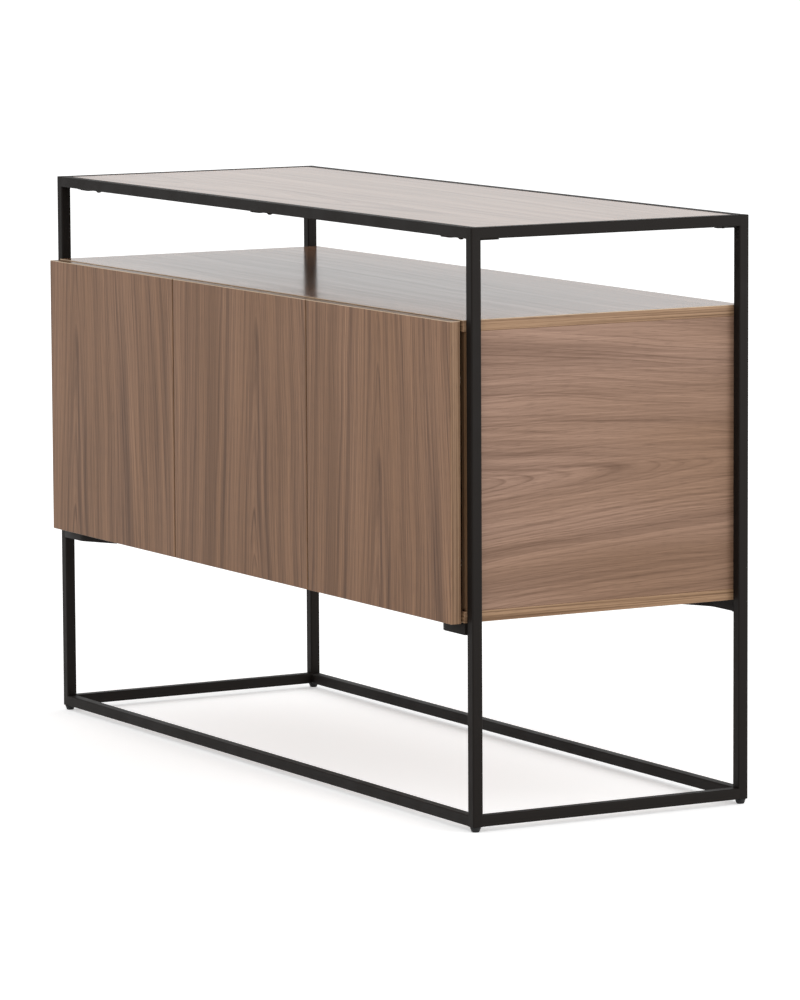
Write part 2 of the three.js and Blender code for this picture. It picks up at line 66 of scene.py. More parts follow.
import json
import math

import bpy
import numpy as np
from mathutils import Matrix, Vector

X, Y, Z = range(3)
nodes = frame["nodes"]
scene = bpy.context.scene

# %% [markdown]
# ## The camera
# The photograph was taken from far off with a long lens, to the right of the front and a little
# above the top. A camera can be set by eye over the picture; here its place, direction and lens
# were solved from the corners of the frame, so the numbers are used as they came out, with no
# shift. The Standard view shows a colour as it is written.

# %% Camera
EYE = Vector((7.00764, -3.95596, 1.35607))
AZIMUTH = math.radians(60.358)
DROP = math.radians(7.0458)
ROLL = math.radians(-0.3113)
SENSOR_HEIGHT = 36.0
FOCAL_LENGTH = 208.286
FARTHEST = 200.0

forward = Vector((-math.sin(AZIMUTH) * math.cos(DROP), math.cos(AZIMUTH) * math.cos(DROP), -math.sin(DROP)))
level = forward.cross(Vector((0, 0, 1))).normalized()
upright = level.cross(forward)
right = math.cos(ROLL) * level + math.sin(ROLL) * upright
up = math.cos(ROLL) * upright - math.sin(ROLL) * level
lens = bpy.data.cameras.new("camera")
lens.sensor_fit = "VERTICAL"
lens.sensor_height = SENSOR_HEIGHT
lens.lens = FOCAL_LENGTH
lens.clip_end = FARTHEST
camera = bpy.data.objects.new("camera", lens)
camera.matrix_world = Matrix.Translation(EYE) @ Matrix((right, up, -forward)).transposed().to_4x4()
scene.collection.objects.link(camera)
scene.camera = camera
scene.view_settings.view_transform = "Standard"
print("camera at", [round(c, 3) for c in EYE], "lens", round(lens.lens, 1))

# %% [markdown]
# ## Node helpers
# Every finish is a small graph of shader nodes. Such a graph can be drawn by hand in the shader
# editor; written down, it can be read and repeated. A few helpers keep it short: one adds a node
# and sets its inputs, one does arithmetic, one starts a group with named sockets, and one starts
# a material.

# %% Node helpers
def node(tree, kind, inputs=None, **settings):
    """Adds a node; inputs maps a socket's name or number to a value or to an output to link."""
    made = tree.nodes.new(kind)
    for name, value in settings.items():
        setattr(made, name, value)
    for key, value in (inputs or {}).items():
        if isinstance(value, bpy.types.NodeSocket):
            tree.links.new(value, made.inputs[key])
        else:
            made.inputs[key].default_value = value
    return made


def maths(tree, operation, a, b=0.0, clamp=False):
    """One arithmetic step on two numbers or outputs."""
    return node(tree, "ShaderNodeMath", {0: a, 1: b}, operation=operation, use_clamp=clamp).outputs[0]


def blend(tree, factor, a, b):
    """A colour between a and b."""
    return node(tree, "ShaderNodeMix", {"Factor": factor, "A": a, "B": b}, data_type="RGBA").outputs["Result"]


def spread(tree, value, low, high, to_low, to_high):
    """Carries the range low to high over to the range to_low to to_high."""
    return node(tree, "ShaderNodeMapRange", {0: value, 1: low, 2: high, 3: to_low, 4: to_high}).outputs[0]


def group(name, takes, gives):
    """An empty shader group: takes maps names to a default number, or None for a vector."""
    tree = bpy.data.node_groups.new(name, "ShaderNodeTree")
    for socket, default in takes.items():
        kind = "NodeSocketVector" if default is None else "NodeSocketFloat"
        made = tree.interface.new_socket(socket, in_out="INPUT", socket_type=kind)
        if default is not None:
            made.default_value = default
    for socket in gives:
        tree.interface.new_socket(socket, in_out="OUTPUT", socket_type="NodeSocketFloat")
    return tree, tree.nodes.new("NodeGroupInput").outputs, tree.nodes.new("NodeGroupOutput").inputs


def material(name):
    """A new material with only a Principled shader wired to its output."""
    made = bpy.data.materials.new(name)
    made.use_nodes = True
    tree = made.node_tree
    tree.nodes.clear()
    shader = tree.nodes.new("ShaderNodeBsdfPrincipled")
    tree.links.new(shader.outputs[0], tree.nodes.new("ShaderNodeOutputMaterial").inputs[0])
    return made, tree, shader


def srgb(r, g, b):
    """A colour as read off a screen, 0 to 255, turned into the linear light that shaders use."""
    c = np.array((r, g, b)) / 255.0
    linear = np.where(c <= 0.04045, c / 12.92, ((c + 0.055) / 1.055) ** 2.4)
    return (*linear.tolist(), 1.0)


print("mid grey on a screen is", round(srgb(128, 128, 128)[0], 3), "of full light")

# %% [markdown]
# ## Walnut figure
# Flat-cut walnut shows growth rings as the saw met them: nearly straight lines at the sides of a
# board, slim pointed arches in its middle. A trunk is a slim cone, so on a cut that misses its
# heart the ring number is the square root of (across squared plus distance squared), less a
# little for every metre along. Where that number passes a whole ring there is a dark line. Slow
# noise bends the lines and makes the rings uneven; noise drawn out along the grain adds streaks,
# veins and pores. Photographed veneer could be used, but a formula has no seams and any size.

# %% Walnut figure: bent grain
figure, given, wanted = group(
    "walnut_figure",
    {"Grain Place": None, "Ring Width": 0.0075, "Heart Distance": 0.03, "Taper": 0.05, "Waviness": 0.02},
    ("Figure", "Pores", "Tone"),
)


def drawn_noise(tree, place, across, along, detail=2.0, shift=0.0, harsh=0.55):
    """Noise with so many lumps a metre across the grain and along it, from 0 to 1."""
    moved = node(tree, "ShaderNodeMapping", {0: place, 1: (shift, shift * 0.7, 0.0), 3: (across, along, 1.0)})
    made = node(tree, "ShaderNodeTexNoise", {"Vector": moved.outputs[0], "Scale": 1.0, "Detail": detail,
                                             "Roughness": harsh}, noise_dimensions="2D")
    return made.outputs["Fac"]


def centred(tree, value, weight):
    """Weight times (value less one half), so that the average stays where it was."""
    return maths(tree, "MULTIPLY", maths(tree, "SUBTRACT", value, 0.5), weight)


place = given["Grain Place"]
straight = node(figure, "ShaderNodeSeparateXYZ", {0: place}).outputs
along = straight[1]
slow_bend = centred(figure, drawn_noise(figure, place, across=4.0, along=1.7, detail=1.0), 1.0)
small_bend = centred(figure, drawn_noise(figure, place, across=14.0, along=6.0, detail=1.0, shift=2.7), 0.16)
bend = maths(figure, "MULTIPLY", maths(figure, "ADD", slow_bend, small_bend), given["Waviness"])
across = maths(figure, "ADD", straight[0], bend)
bent = node(figure, "ShaderNodeCombineXYZ", {0: across, 1: along}).outputs[0]
print("bent grain nodes:", len(figure.nodes))

# %% Walnut figure: rings
FLARE = 9.0
UNEVEN_CUT = 0.005
UNEVEN_YEARS = 3.0
LINE_SHARPNESS = 6.0
LINE_EDGE = 9.0

across_squared = maths(figure, "MULTIPLY", across, across)
heart_squared = maths(figure, "MULTIPLY", given["Heart Distance"], given["Heart Distance"])
radius = maths(figure, "SQRT", maths(figure, "ADD", across_squared, heart_squared))
cone = maths(figure, "SUBTRACT", radius, maths(figure, "MULTIPLY", along, given["Taper"]))
cut = drawn_noise(figure, bent, across=34.0, along=5.0, shift=3.1)
cone = maths(figure, "ADD", cone, centred(figure, cut, UNEVEN_CUT))
beside = maths(figure, "ADD", along, maths(figure, "MULTIPLY", across, FLARE))
cone_place = node(figure, "ShaderNodeCombineXYZ", {0: cone, 1: beside}).outputs[0]
rings = maths(figure, "DIVIDE", cone, given["Ring Width"])
ring_place = node(figure, "ShaderNodeCombineXYZ", {0: rings, 1: beside}).outputs[0]
years = drawn_noise(figure, ring_place, across=0.4, along=0.5, detail=1.0, shift=8.3)
ring = maths(figure, "FRACT", maths(figure, "ADD", rings, centred(figure, years, UNEVEN_YEARS)))
falling = maths(figure, "MULTIPLY", maths(figure, "SUBTRACT", 1.0, ring), LINE_EDGE, clamp=True)
line = maths(figure, "MULTIPLY", maths(figure, "POWER", ring, LINE_SHARPNESS), falling)
ring_tone = drawn_noise(figure, ring_place, across=0.7, along=0.9, detail=1.0, shift=7.7)
print("with rings:", len(figure.nodes))

# %% Walnut figure: streaks, veins and pores
STREAK_WEIGHT = 1.5
FINE_WEIGHT = 0.75
VEIN_WEIGHT = 0.1
VEIN_SHARPNESS = 40.0
MIDDLE = 0.36

streaks = drawn_noise(figure, cone_place, across=46.0, along=0.5, detail=5.0, shift=1.3, harsh=0.82)
fine_streaks = drawn_noise(figure, bent, across=420.0, along=2.6, shift=5.9)
soft_part = maths(figure, "ADD", centred(figure, streaks, STREAK_WEIGHT),
                  centred(figure, fine_streaks, FINE_WEIGHT))
wander = drawn_noise(figure, bent, across=34.0, along=0.5, detail=1.0, shift=6.6)
ridge = maths(figure, "SUBTRACT", 1.0, maths(figure, "ABSOLUTE", centred(figure, wander, 2.0)))
vein_part = maths(figure, "MULTIPLY", maths(figure, "POWER", ridge, VEIN_SHARPNESS), VEIN_WEIGHT)
line_part = maths(figure, "MULTIPLY", line, spread(figure, ring_tone, 0.36, 0.64, 0.1, 0.85))
total = maths(figure, "ADD", maths(figure, "ADD", line_part, vein_part), soft_part)
figure.links.new(maths(figure, "ADD", total, MIDDLE, clamp=True), wanted["Figure"])
dashes = drawn_noise(figure, bent, across=1500.0, along=38.0, detail=1.0, shift=2.2)
figure.links.new(spread(figure, dashes, 0.60, 0.72, 0.0, 1.0), wanted["Pores"])
figure.links.new(drawn_noise(figure, bent, across=9.0, along=1.2, shift=9.4), wanted["Tone"])
print("walnut figure nodes:", len(figure.nodes))

# %% [markdown]
# ## Walnut finish
# The boards are veneered and lacquered satin. Two colours are mixed by the figure, a slow tone makes
# the wood greyer here and warmer there, and pores darken it and press a faint grain into the lacquer.
# A drift also paints the doors and sides paler and greyer towards the top, and the sides also towards
# the front: painted light, where more light and sheen fall. Edge bands are a slightly yellower strip of
# the same wood, so each board carries an attribute, band, that is 1 on its narrow edges; on doors and
# sides the strip is darker than on the lying boards, in part as painted shade where legs and doors shade
# those edges. The upward arrises of the doors and of the cabinet are painted pale, a painted highlight
# where they catch the light. The top board's underside is painted pale, so that the open shelf mirrors
# it pale: a painted reflection. Two more attributes mark these. Doors, sides and lying boards come from
# different leaves of veneer, so one function makes three finishes with values of their own.

# %% Walnut colours
STRIP_LINES = srgb(92, 66, 46)
# Painted reflection: the top board's underside is painted pale, so that the glossy shelf below mirrors it
# pale.
PAINTED_REFLECTION_PALE = srgb(206, 198, 188)
# Painted highlight: pale wood on upward arrises, where they catch the light.
PAINTED_ARRIS_HIGHLIGHT = srgb(208, 184, 156)
WARM_TINT = (0.89, 0.86, 0.80, 1.0)
GREY_TINT = (1.11, 1.135, 1.19, 1.0)


def mask(tree, name):
    """One of the piece's own attributes, as a factor from 0 to 1."""
    return node(tree, "ShaderNodeAttribute", attribute_name=name).outputs["Fac"]


def board_colour(tree, uv, face, narrow, band):
    """The face colour, a lined strip where narrow is 1, and where the piece's own attributes say so
    a pale colour for a painted reflection or a painted highlight on an upward arris."""
    lines = drawn_noise(tree, uv, across=380.0, along=2.0, shift=4.4)
    strip = blend(tree, spread(tree, lines, 0.38, 0.78, 0.0, 1.0), srgb(*band), STRIP_LINES)
    banded = blend(tree, narrow, face, strip)
    # Downward faces of the top board get a pale painted reflection.
    with_painted_reflection = blend(tree, mask(tree, "painted_reflection"), banded, PAINTED_REFLECTION_PALE)
    # Upward arrises get a painted highlight.
    return blend(tree, mask(tree, "painted_highlight"), with_painted_reflection, PAINTED_ARRIS_HIGHLIGHT)


def tinted(tree, uv, colour, tone, drift):
    """The colour times a tint from warm to grey: the tone plus drift times the place chooses it, and the
    drift part is painted light.
    """
    # Drift times the place: painted light, paler and greyer where more light falls.
    painted_light_ramp = node(tree, "ShaderNodeVectorMath", {0: uv, 1: (*drift, 0.0)}, operation="DOT_PRODUCT")
    tone_and_painted_light = maths(tree, "ADD", tone, painted_light_ramp.outputs["Value"])
    tint = blend(tree, spread(tree, tone_and_painted_light, 0.2, 0.8, 0.0, 1.0), WARM_TINT, GREY_TINT)
    return node(tree, "ShaderNodeVectorMath", {0: colour, 1: tint}, operation="MULTIPLY").outputs[0]


print("rubbed wood in linear light:", np.round(PAINTED_ARRIS_HIGHLIGHT[:3], 3).tolist())

# %% Walnut materials
PORE_COLOUR = srgb(72, 52, 40)
PORE_STRENGTH = 0.3
STRIP_ROUGH = (0.28, 0.28, 0.28, 1.0)
GRAIN_DEPTH = 0.0004
FIGURE_DIP = 0.3
HEART_RINGS = 2.0
DULLER, SHINIER = 0.03, 0.02


# Default band colour, for doors and sides: darker than the lying boards', partly painted shade from legs and
# doors.
def walnut(name, pale, dark, ring_width, taper, waviness, rough, shine, press, drift=(0.0, 0.0),
           band=(146, 115, 88)):
    """Walnut veneer: two colours by the figure, darker pores, satin lacquer with pressed grain.
    drift paints the wood paler and greyer over a metre across and along the grain, as painted light;
    band is the colour of its edge strip, by default darker in part as painted shade."""
    made, tree, shader = material(name)
    uv = node(tree, "ShaderNodeUVMap", uv_map="grain").outputs[0]
    settings = {"Grain Place": uv, "Ring Width": ring_width, "Heart Distance": HEART_RINGS * ring_width,
                "Taper": taper, "Waviness": waviness}
    wood = node(tree, "ShaderNodeGroup", settings, node_tree=figure).outputs
    narrow = mask(tree, "band")
    face = blend(tree, wood["Figure"], srgb(*pale), srgb(*dark))
    # The drift in tinted is painted light; board_colour adds the painted reflection and painted highlight.
    colour = tinted(tree, uv, board_colour(tree, uv, face, narrow, band), wood["Tone"], drift)
    pores = maths(tree, "MULTIPLY", wood["Pores"], PORE_STRENGTH)
    tree.links.new(blend(tree, pores, colour, PORE_COLOUR), shader.inputs["Base Color"])
    satin = spread(tree, wood["Figure"], 0.0, 1.0, rough - SHINIER, rough + DULLER)
    tree.links.new(blend(tree, narrow, satin, STRIP_ROUGH), shader.inputs["Roughness"])
    shader.inputs["Specular IOR Level"].default_value = shine
    dip = maths(tree, "ADD", maths(tree, "MULTIPLY", wood["Pores"], -1.0),
                maths(tree, "MULTIPLY", wood["Figure"], -FIGURE_DIP))
    bump = node(tree, "ShaderNodeBump", {"Strength": press, "Distance": GRAIN_DEPTH, "Height": dip})
    tree.links.new(bump.outputs[0], shader.inputs["Normal"])
    return made


# Doors: the drift paints them paler and greyer towards the top, painted light from above.
walnut_front = walnut("walnut_front", (155, 117, 88), (72, 47, 32), ring_width=0.0065, taper=0.055,
                      waviness=0.03, rough=0.42, shine=0.16, press=0.05, drift=(0.0, -0.6))
# Sides: the drift paints them paler and greyer towards the top and front, painted light and sheen.
walnut_side = walnut("walnut_side", (156, 125, 105), (104, 78, 62), ring_width=0.0055, taper=0.08,
                     waviness=0.03, rough=0.40, shine=0.16, press=0.05, drift=(0.75, 1.2))
# Lying boards keep the paler band colour; the darker default on doors and sides is partly painted shade.
walnut_flat = walnut("walnut_flat", (157, 121, 96), (96, 69, 53), ring_width=0.012, taper=0.05,
                     waviness=0.035, rough=0.16, shine=0.12, press=0.006, band=(158, 127, 99))
print("walnut finishes:", walnut_front.name, walnut_side.name, walnut_flat.name)

# %% [markdown]
# ## Powder paint, plated steel, moulded plastic
# Powder paint melts into a skin with a very fine orange peel; the square tube is nearly black and
# satin. Hinges are pressed steel with bright nickel and a slightly uneven shine. Latches and
# glides are moulded plastic with a faint spark-eroded grain. A single colour would do from afar,
# but close up a coat is never even, so one group makes a fine skin and a slow cloud from two
# noises, and each material sets its own scale.

# %% Coats
SKIN_DEPTH = 0.0003
skin, given, wanted = group("fine_skin", {"Place": None, "Fine": 900.0, "Coarse": 40.0}, ("Height", "Cloud"))
fine = node(skin, "ShaderNodeTexNoise", {"Vector": given["Place"], "Scale": given["Fine"], "Detail": 2.0})
cloud = node(skin, "ShaderNodeTexNoise", {"Vector": given["Place"], "Scale": given["Coarse"], "Detail": 3.0})
skin.links.new(fine.outputs["Fac"], wanted["Height"])
skin.links.new(cloud.outputs["Fac"], wanted["Cloud"])


def coated(name, low, high, rough, scales, press, metal=0.0, shine=0.5):
    """A plain coat: its colour and roughness drift between two values, its skin is pressed by fine
    noise. scales holds the lumps to a metre of the skin and of the drift."""
    made, tree, shader = material(name)
    spot = node(tree, "ShaderNodeTexCoord").outputs["Object"]
    settings = {"Place": spot, "Fine": scales[0], "Coarse": scales[1]}
    coat = node(tree, "ShaderNodeGroup", settings, node_tree=skin).outputs
    tree.links.new(blend(tree, coat["Cloud"], srgb(*low), srgb(*high)), shader.inputs["Base Color"])
    tree.links.new(spread(tree, coat["Cloud"], 0.3, 0.7, *rough), shader.inputs["Roughness"])
    shader.inputs["Metallic"].default_value = metal
    shader.inputs["Specular IOR Level"].default_value = shine
    bump = node(tree, "ShaderNodeBump", {"Strength": press, "Distance": SKIN_DEPTH, "Height": coat["Height"]})
    tree.links.new(bump.outputs[0], shader.inputs["Normal"])
    return made


paint = coated("powder_paint", (22, 18, 16), (30, 26, 23), rough=(0.5, 0.6), scales=(1400.0, 25.0),
               press=0.25, shine=0.11)
nickel = coated("bright_nickel", (176, 174, 168), (206, 204, 199), rough=(0.2, 0.32), scales=(700.0, 90.0),
                press=0.05, metal=1.0)
zinc = coated("zinc_screw", (168, 170, 172), (196, 198, 200), rough=(0.26, 0.4), scales=(900.0, 200.0),
              press=0.06, metal=1.0)
grey_shell = coated("grey_moulding", (118, 119, 121), (132, 133, 135), rough=(0.5, 0.6),
                    scales=(1800.0, 60.0), press=0.2)
white_shell = coated("white_moulding", (216, 214, 207), (228, 226, 220), rough=(0.4, 0.5),
                     scales=(1800.0, 60.0), press=0.1)
black_shell = coated("black_moulding", (18, 18, 18), (27, 27, 27), rough=(0.5, 0.6), scales=(1500.0, 80.0),
                     press=0.25, shine=0.3)
print("coats:", [m.name for m in (paint, nickel, zinc, grey_shell, white_shell, black_shell)])

# %% [markdown]
# ## Putting a surface into the scene
# Blender's own primitives could be added and edited, but arrays keep every point of a piece under
# control. So each new piece is an array of points and a few arrays of faces, one array for each
# number of corners. One helper writes them into a mesh, keeps sharp edges sharp, lets the piece
# ride on its body and hides the solid it stands for.

# %% Mesh helpers
WELD_STEPS = 1e5


def put(name, surface, body, finish, stands_for=(), sharp=35.0):
    """Writes (points, faces) to a mesh object, smooth below the sharp angle, riding on body."""
    points, faces = surface
    mesh = bpy.data.meshes.new(name)
    mesh.from_pydata(points.tolist(), [], [corners for array in faces for corners in array.tolist()])
    mesh.polygons.foreach_set("use_smooth", np.ones(len(mesh.polygons), bool))
    mesh.set_sharp_from_angle(angle=math.radians(sharp))
    mesh.materials.append(finish)
    piece = bpy.data.objects.new(name, mesh)
    scene.collection.objects.link(piece)
    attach(piece, body)
    if stands_for:
        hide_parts(*stands_for)
    return piece


def body_of(name):
    """The body that carries a solid."""
    return nodes[name]["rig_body"]


def joined(surfaces):
    """Several surfaces as one: the points are stacked and each face array moves up by its start."""
    starts = np.cumsum([0] + [len(points) for points, _ in surfaces[:-1]])
    faces = [array + start for (_, arrays), start in zip(surfaces, starts) for array in arrays]
    return np.vstack([points for points, _ in surfaces]), faces


def welded(surface):
    """Merges points that fall on the same step of a hundredth of a millimetre."""
    points, faces = surface
    _, first, back = np.unique(np.round(points * WELD_STEPS).astype(np.int64), axis=0, return_index=True,
                               return_inverse=True)
    return points[first], [back.ravel()[array] for array in faces]


def grid_quads(rows, columns, around=False):
    """Corner numbers of the quads of a grid; around joins the last column to the first."""
    ids = np.arange(rows * columns).reshape(rows, columns)
    if around:
        ids = np.hstack([ids, ids[:, :1]])
    return np.stack([ids[:-1, :-1], ids[:-1, 1:], ids[1:, 1:], ids[1:, :-1]], -1).reshape(-1, 4)


print("quads of a 3 by 4 grid:", len(grid_quads(3, 4)), "and closed around:", len(grid_quads(3, 4, True)))

# %% [markdown]
# ## Boards
# A veneered board is a box whose edges are eased with a touch of abrasive, about 0.8 mm. A cube
# with a Bevel modifier would come close; a formula gives the same rounding on every board. Take a
# point on the box, pull it to the nearest point of a box smaller by the radius, and step outwards
# from there by exactly the radius. The grid lines of each face sit at equal angles of the rounding,
# and one more line just inside it keeps smooth shading off the flat: a lacquered flat that shades
# even slightly domed mirrors the room wrongly.

# %% Board surface
EASE = 0.0008
EASE_ANGLES = np.radians([45.0, 30.0, 15.0, 0.0])
HOLD = 0.0005


def knots(half, radius, extra):
    """Grid lines along one side: four to each rounding, one to hold the flat, the extra between."""
    inner = half - radius
    step = np.append(radius * np.tan(EASE_ANGLES), -HOLD)
    return np.concatenate([-inner - step, np.sort(extra), inner + step[::-1]])


def face_code(axis, side):
    """A number for each of the six sides of a box: twice the axis, and one more on the high side."""
    return 2 * axis + (side > 0)


def board_surface(low, high, radius=EASE, lines=((), (), ())):
    """An eased box: nearest point of the inner box plus radius times the direction from it. lines
    holds extra grid lines along each axis. The third array tells each quad's side of the box."""
    low, high = np.array(low), np.array(high)
    middle, half = (low + high) / 2, (high - low) / 2
    marks = [knots(half[i], radius, np.array(lines[i]) - middle[i]) for i in range(3)]
    sheets, codes = [], []
    for axis in range(3):
        a, b = (axis + 1) % 3, (axis + 2) % 3
        for side in (-1, 1):
            grid = np.zeros((len(marks[a]), len(marks[b]), 3))
            grid[..., a], grid[..., b], grid[..., axis] = marks[a][:, None], marks[b], side * half[axis]
            inner = np.clip(grid, radius - half, half - radius)
            away = grid - inner
            grid = middle + inner + radius * away / np.linalg.norm(away, axis=-1, keepdims=True)
            quads = grid_quads(*grid.shape[:2])
            sheets.append((grid.reshape(-1, 3), [quads[:, ::-1] if side > 0 else quads]))
            codes.append(np.full(len(quads), face_code(axis, side)))
    points, faces = joined(sheets)
    return points, np.vstack(faces), np.concatenate(codes)


print("ease", EASE, "m, grid lines to a side", len(knots(0.1, EASE, ())))

# %% [markdown]
# ## Grain on the boards
# Veneer is laid with its grain one way over a whole face. Blender can unwrap a mesh by itself, but
# here every face gets a flat map in metres, with the grain along its second direction, so that the
# figure keeps its true size. The map starts at the apex of an arch. The two wide faces are
# different leaves, so the second is shifted, and the narrow edges start at places of their own.

# %% Grain map
LEAF_SHIFT = 0.13
EDGE_START = (0.31, 0.2)


def grain_map(piece, codes, thick, grain, apex):
    """UV in metres: across the grain, and back along it, from the apex of an arch. band marks narrow
    edges. thick is the axis through the board, grain the axis of the veneer."""
    mesh = piece.data
    points = np.zeros(len(mesh.vertices) * 3)
    mesh.vertices.foreach_get("co", points)
    points = points.reshape(-1, 3)
    loops = np.zeros(len(mesh.loops), int)
    mesh.loops.foreach_get("vertex_index", loops)
    corners = np.zeros(len(mesh.polygons), int)
    mesh.polygons.foreach_get("loop_total", corners)
    face_axis, second_leaf = np.repeat(codes // 2, corners), np.repeat(codes % 2, corners)
    size = np.ptp(points, axis=0)
    uv = np.zeros((len(loops), 2))
    for axis in range(3):
        flat = [i for i in range(3) if i != axis]
        wide = axis == thick
        along = grain if wide else max(flat, key=lambda i: size[i])
        across = flat[0] if flat[1] == along else flat[1]
        start = apex if wide else (EDGE_START[0] * (axis + 1), EDGE_START[1] * axis)
        here = face_axis == axis
        uv[here, 0] = points[loops[here], across] - start[0] + LEAF_SHIFT * wide * second_leaf[here]
        uv[here, 1] = start[1] - points[loops[here], along]
    mesh.uv_layers.new(name="grain").data.foreach_set("uv", uv.ravel())
    band = mesh.attributes.new("band", "FLOAT", "FACE")
    band.data.foreach_set("value", (codes // 2 != thick).astype(np.float32))


def board(name, grain, apex, finish):
    """Dresses one solid board: its thin side by its box, grain along an axis, an arch at apex."""
    low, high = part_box(name)
    thick = int(np.argmin(np.array(high) - np.array(low)))
    points, quads, codes = board_surface(low, high)
    surface = welded((points, [quads]))
    piece = put(name + "_veneered", surface, body_of(name), finish, (name,))
    grain_map(piece, codes, thick, grain, apex)
    return piece


# Solid, axis of the grain, place of an arch across and along the grain, finish.
BOARDS = (
    ("top_board", X, (0.02, -0.9), walnut_flat),
    ("cabinet_top", X, (-0.05, -1.1), walnut_flat),
    ("cabinet_bottom", X, (0.1, 1.2), walnut_flat),
    ("cabinet_side_left", Y, (0.43, 0.05), walnut_side),
    ("cabinet_side_right", Y, (0.462 + LEAF_SHIFT, 0.0), walnut_side),
    ("cabinet_partition", Z, (0.2, 0.9), walnut_front),
    ("cabinet_back", X, (0.4, 0.9), walnut_flat),
    ("shelf_left", X, (0.06, 0.8), walnut_flat),
    ("shelf_right", X, (-0.12, 0.5), walnut_flat),
)
boards = {settings[0]: board(*settings) for settings in BOARDS}
print("boards:", list(boards))

# %% Painted reflection under the top board and painted highlight on arrises
# Ranges of the upward part of a face's normal.
STRAIGHT_DOWN = (-1.1, -0.99)
SLANTED_UP = (0.1, 0.99)


def mark(piece, name, lowest, highest):
    """A face attribute that is 1 where the upward part of the face's normal lies in a range."""
    mesh = piece.data
    normals = np.zeros(len(mesh.polygons) * 3)
    mesh.polygons.foreach_get("normal", normals)
    inside = (normals[2::3] > lowest) & (normals[2::3] < highest)
    mesh.attributes.new(name, "FLOAT", "FACE").data.foreach_set("value", inside.astype(np.float32))
    return int(inside.sum())


# Downward faces of the top board: pale, a painted reflection that the shelf mirrors.
print("backing faces:", mark(boards["top_board"], "painted_reflection", *STRAIGHT_DOWN))
# Upward arrises of the cabinet top: a painted highlight.
print("rubbed faces:", mark(boards["cabinet_top"], "painted_highlight", *SLANTED_UP))

# %% [markdown]
# ## Doors
# A door is a board with two round pockets in its back for the hinge cups. A Boolean modifier could
# drill them, but it leaves slivers. Instead, extra grid lines frame each pocket with a square tile.
# The tile becomes four fans from its corners to the circle, then a wall and a floor.

# %% Door surface
POCKET_SIDES = 48
POCKET_RADIUS = 0.01775
POCKET_DEPTH = 0.01275
TILE = 0.0186
TILE_MATCH = 1e-4
BACK_SIDE = face_code(Y, 1)


def named(start):
    """The names of the solids that begin with start, in order."""
    return sorted(name for name in nodes if name.startswith(start))


def pocket(x, y, z):
    """A square tile facing +Y with a round pocket: corner fans, links between them, wall, floor."""
    step = np.arange(POCKET_SIDES)
    angle = math.pi / 4 + 2 * math.pi * step / POCKET_SIDES
    rim = np.stack([x + POCKET_RADIUS * np.cos(angle), np.full(POCKET_SIDES, y),
                    z + POCKET_RADIUS * np.sin(angle)], -1)
    tile = np.array([[x + TILE, y, z + TILE], [x - TILE, y, z + TILE], [x - TILE, y, z - TILE],
                     [x + TILE, y, z - TILE]])
    points = np.vstack([tile, rim, rim - (0.0, POCKET_DEPTH, 0.0)])
    top, nearest = 4 + step, (step + POCKET_SIDES // 8) // (POCKET_SIDES // 4) % 4
    bottom = top + POCKET_SIDES
    fans = np.stack([nearest, top, np.roll(top, -1)], -1)
    turn = np.flatnonzero(nearest != np.roll(nearest, 1))
    links = np.stack([nearest[turn - 1], top[turn], nearest[turn]], -1)
    wall = np.stack([top, bottom, np.roll(bottom, -1), np.roll(top, -1)], -1)
    return points, [np.vstack([fans, links]), wall, bottom[None, ::-1]]


def door(name, apex):
    """An eased board with upright grain, and a pocket behind each of its hinge cups."""
    low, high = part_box(name)
    boxes = [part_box(cup) for cup in named(name.replace("door", "hinge_cup"))]
    centres = np.array([(a + b) / 2 for a, b in boxes])
    around = [sorted({round(c + s, 6) for c in centres[:, i] for s in (-TILE, TILE)}) for i in (X, Z)]
    points, quads, codes = board_surface(low, high, lines=(around[0], (), around[1]))
    middles = points[quads].mean(axis=1)
    tiles = np.abs(middles[:, None, ::2] - centres[None, :, ::2]).max(axis=2).min(axis=1) < TILE_MATCH
    keep = ~((codes == BACK_SIDE) & tiles)
    pockets = [pocket(c[0], high.y, c[2]) for c in centres]
    surface = welded(joined([(points, [quads[keep]])] + pockets))
    piece = put(name + "_veneered", surface, body_of(name), walnut_front, (name,))
    pocket_faces = sum(len(array) for _, faces in pockets for array in faces)
    grain_map(piece, np.concatenate([codes[keep], np.full(pocket_faces, BACK_SIDE)]), Y, Z, apex)
    # Upward arrises of the door: a painted highlight where they catch the light.
    mark(piece, "painted_highlight", *SLANTED_UP)
    return piece


# Solid, place of an arch across and up.
DOORS = (("door_left", (-0.502, 0.507)), ("door_middle", (0.05, 0.56)), ("door_right", (0.39, 0.414)))
doors = [door(*settings) for settings in DOORS]
print("doors:", [d.name for d in doors], "faces", [len(d.data.polygons) for d in doors])

# %% [markdown]
# ## Square tube
# The frame is 15 mm tube with corners rolled to about 2 mm. A curve with a bevel profile could draw
# it; a grid gives the ends their own shape. Its section is a square pulled in by the corner radius,
# with the radius added back along the direction of turn, and it is carried along the tube's axis. A
# leg's ends draw in over half a millimetre. A rail runs on into the leg by its corner radius, as the
# ground and painted weld closes that notch.

# %% Tube surface
leg_low, leg_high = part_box("leg_front_left")
TUBE = leg_high.x - leg_low.x
CORNER = 0.002
CORNER_STEPS = 6


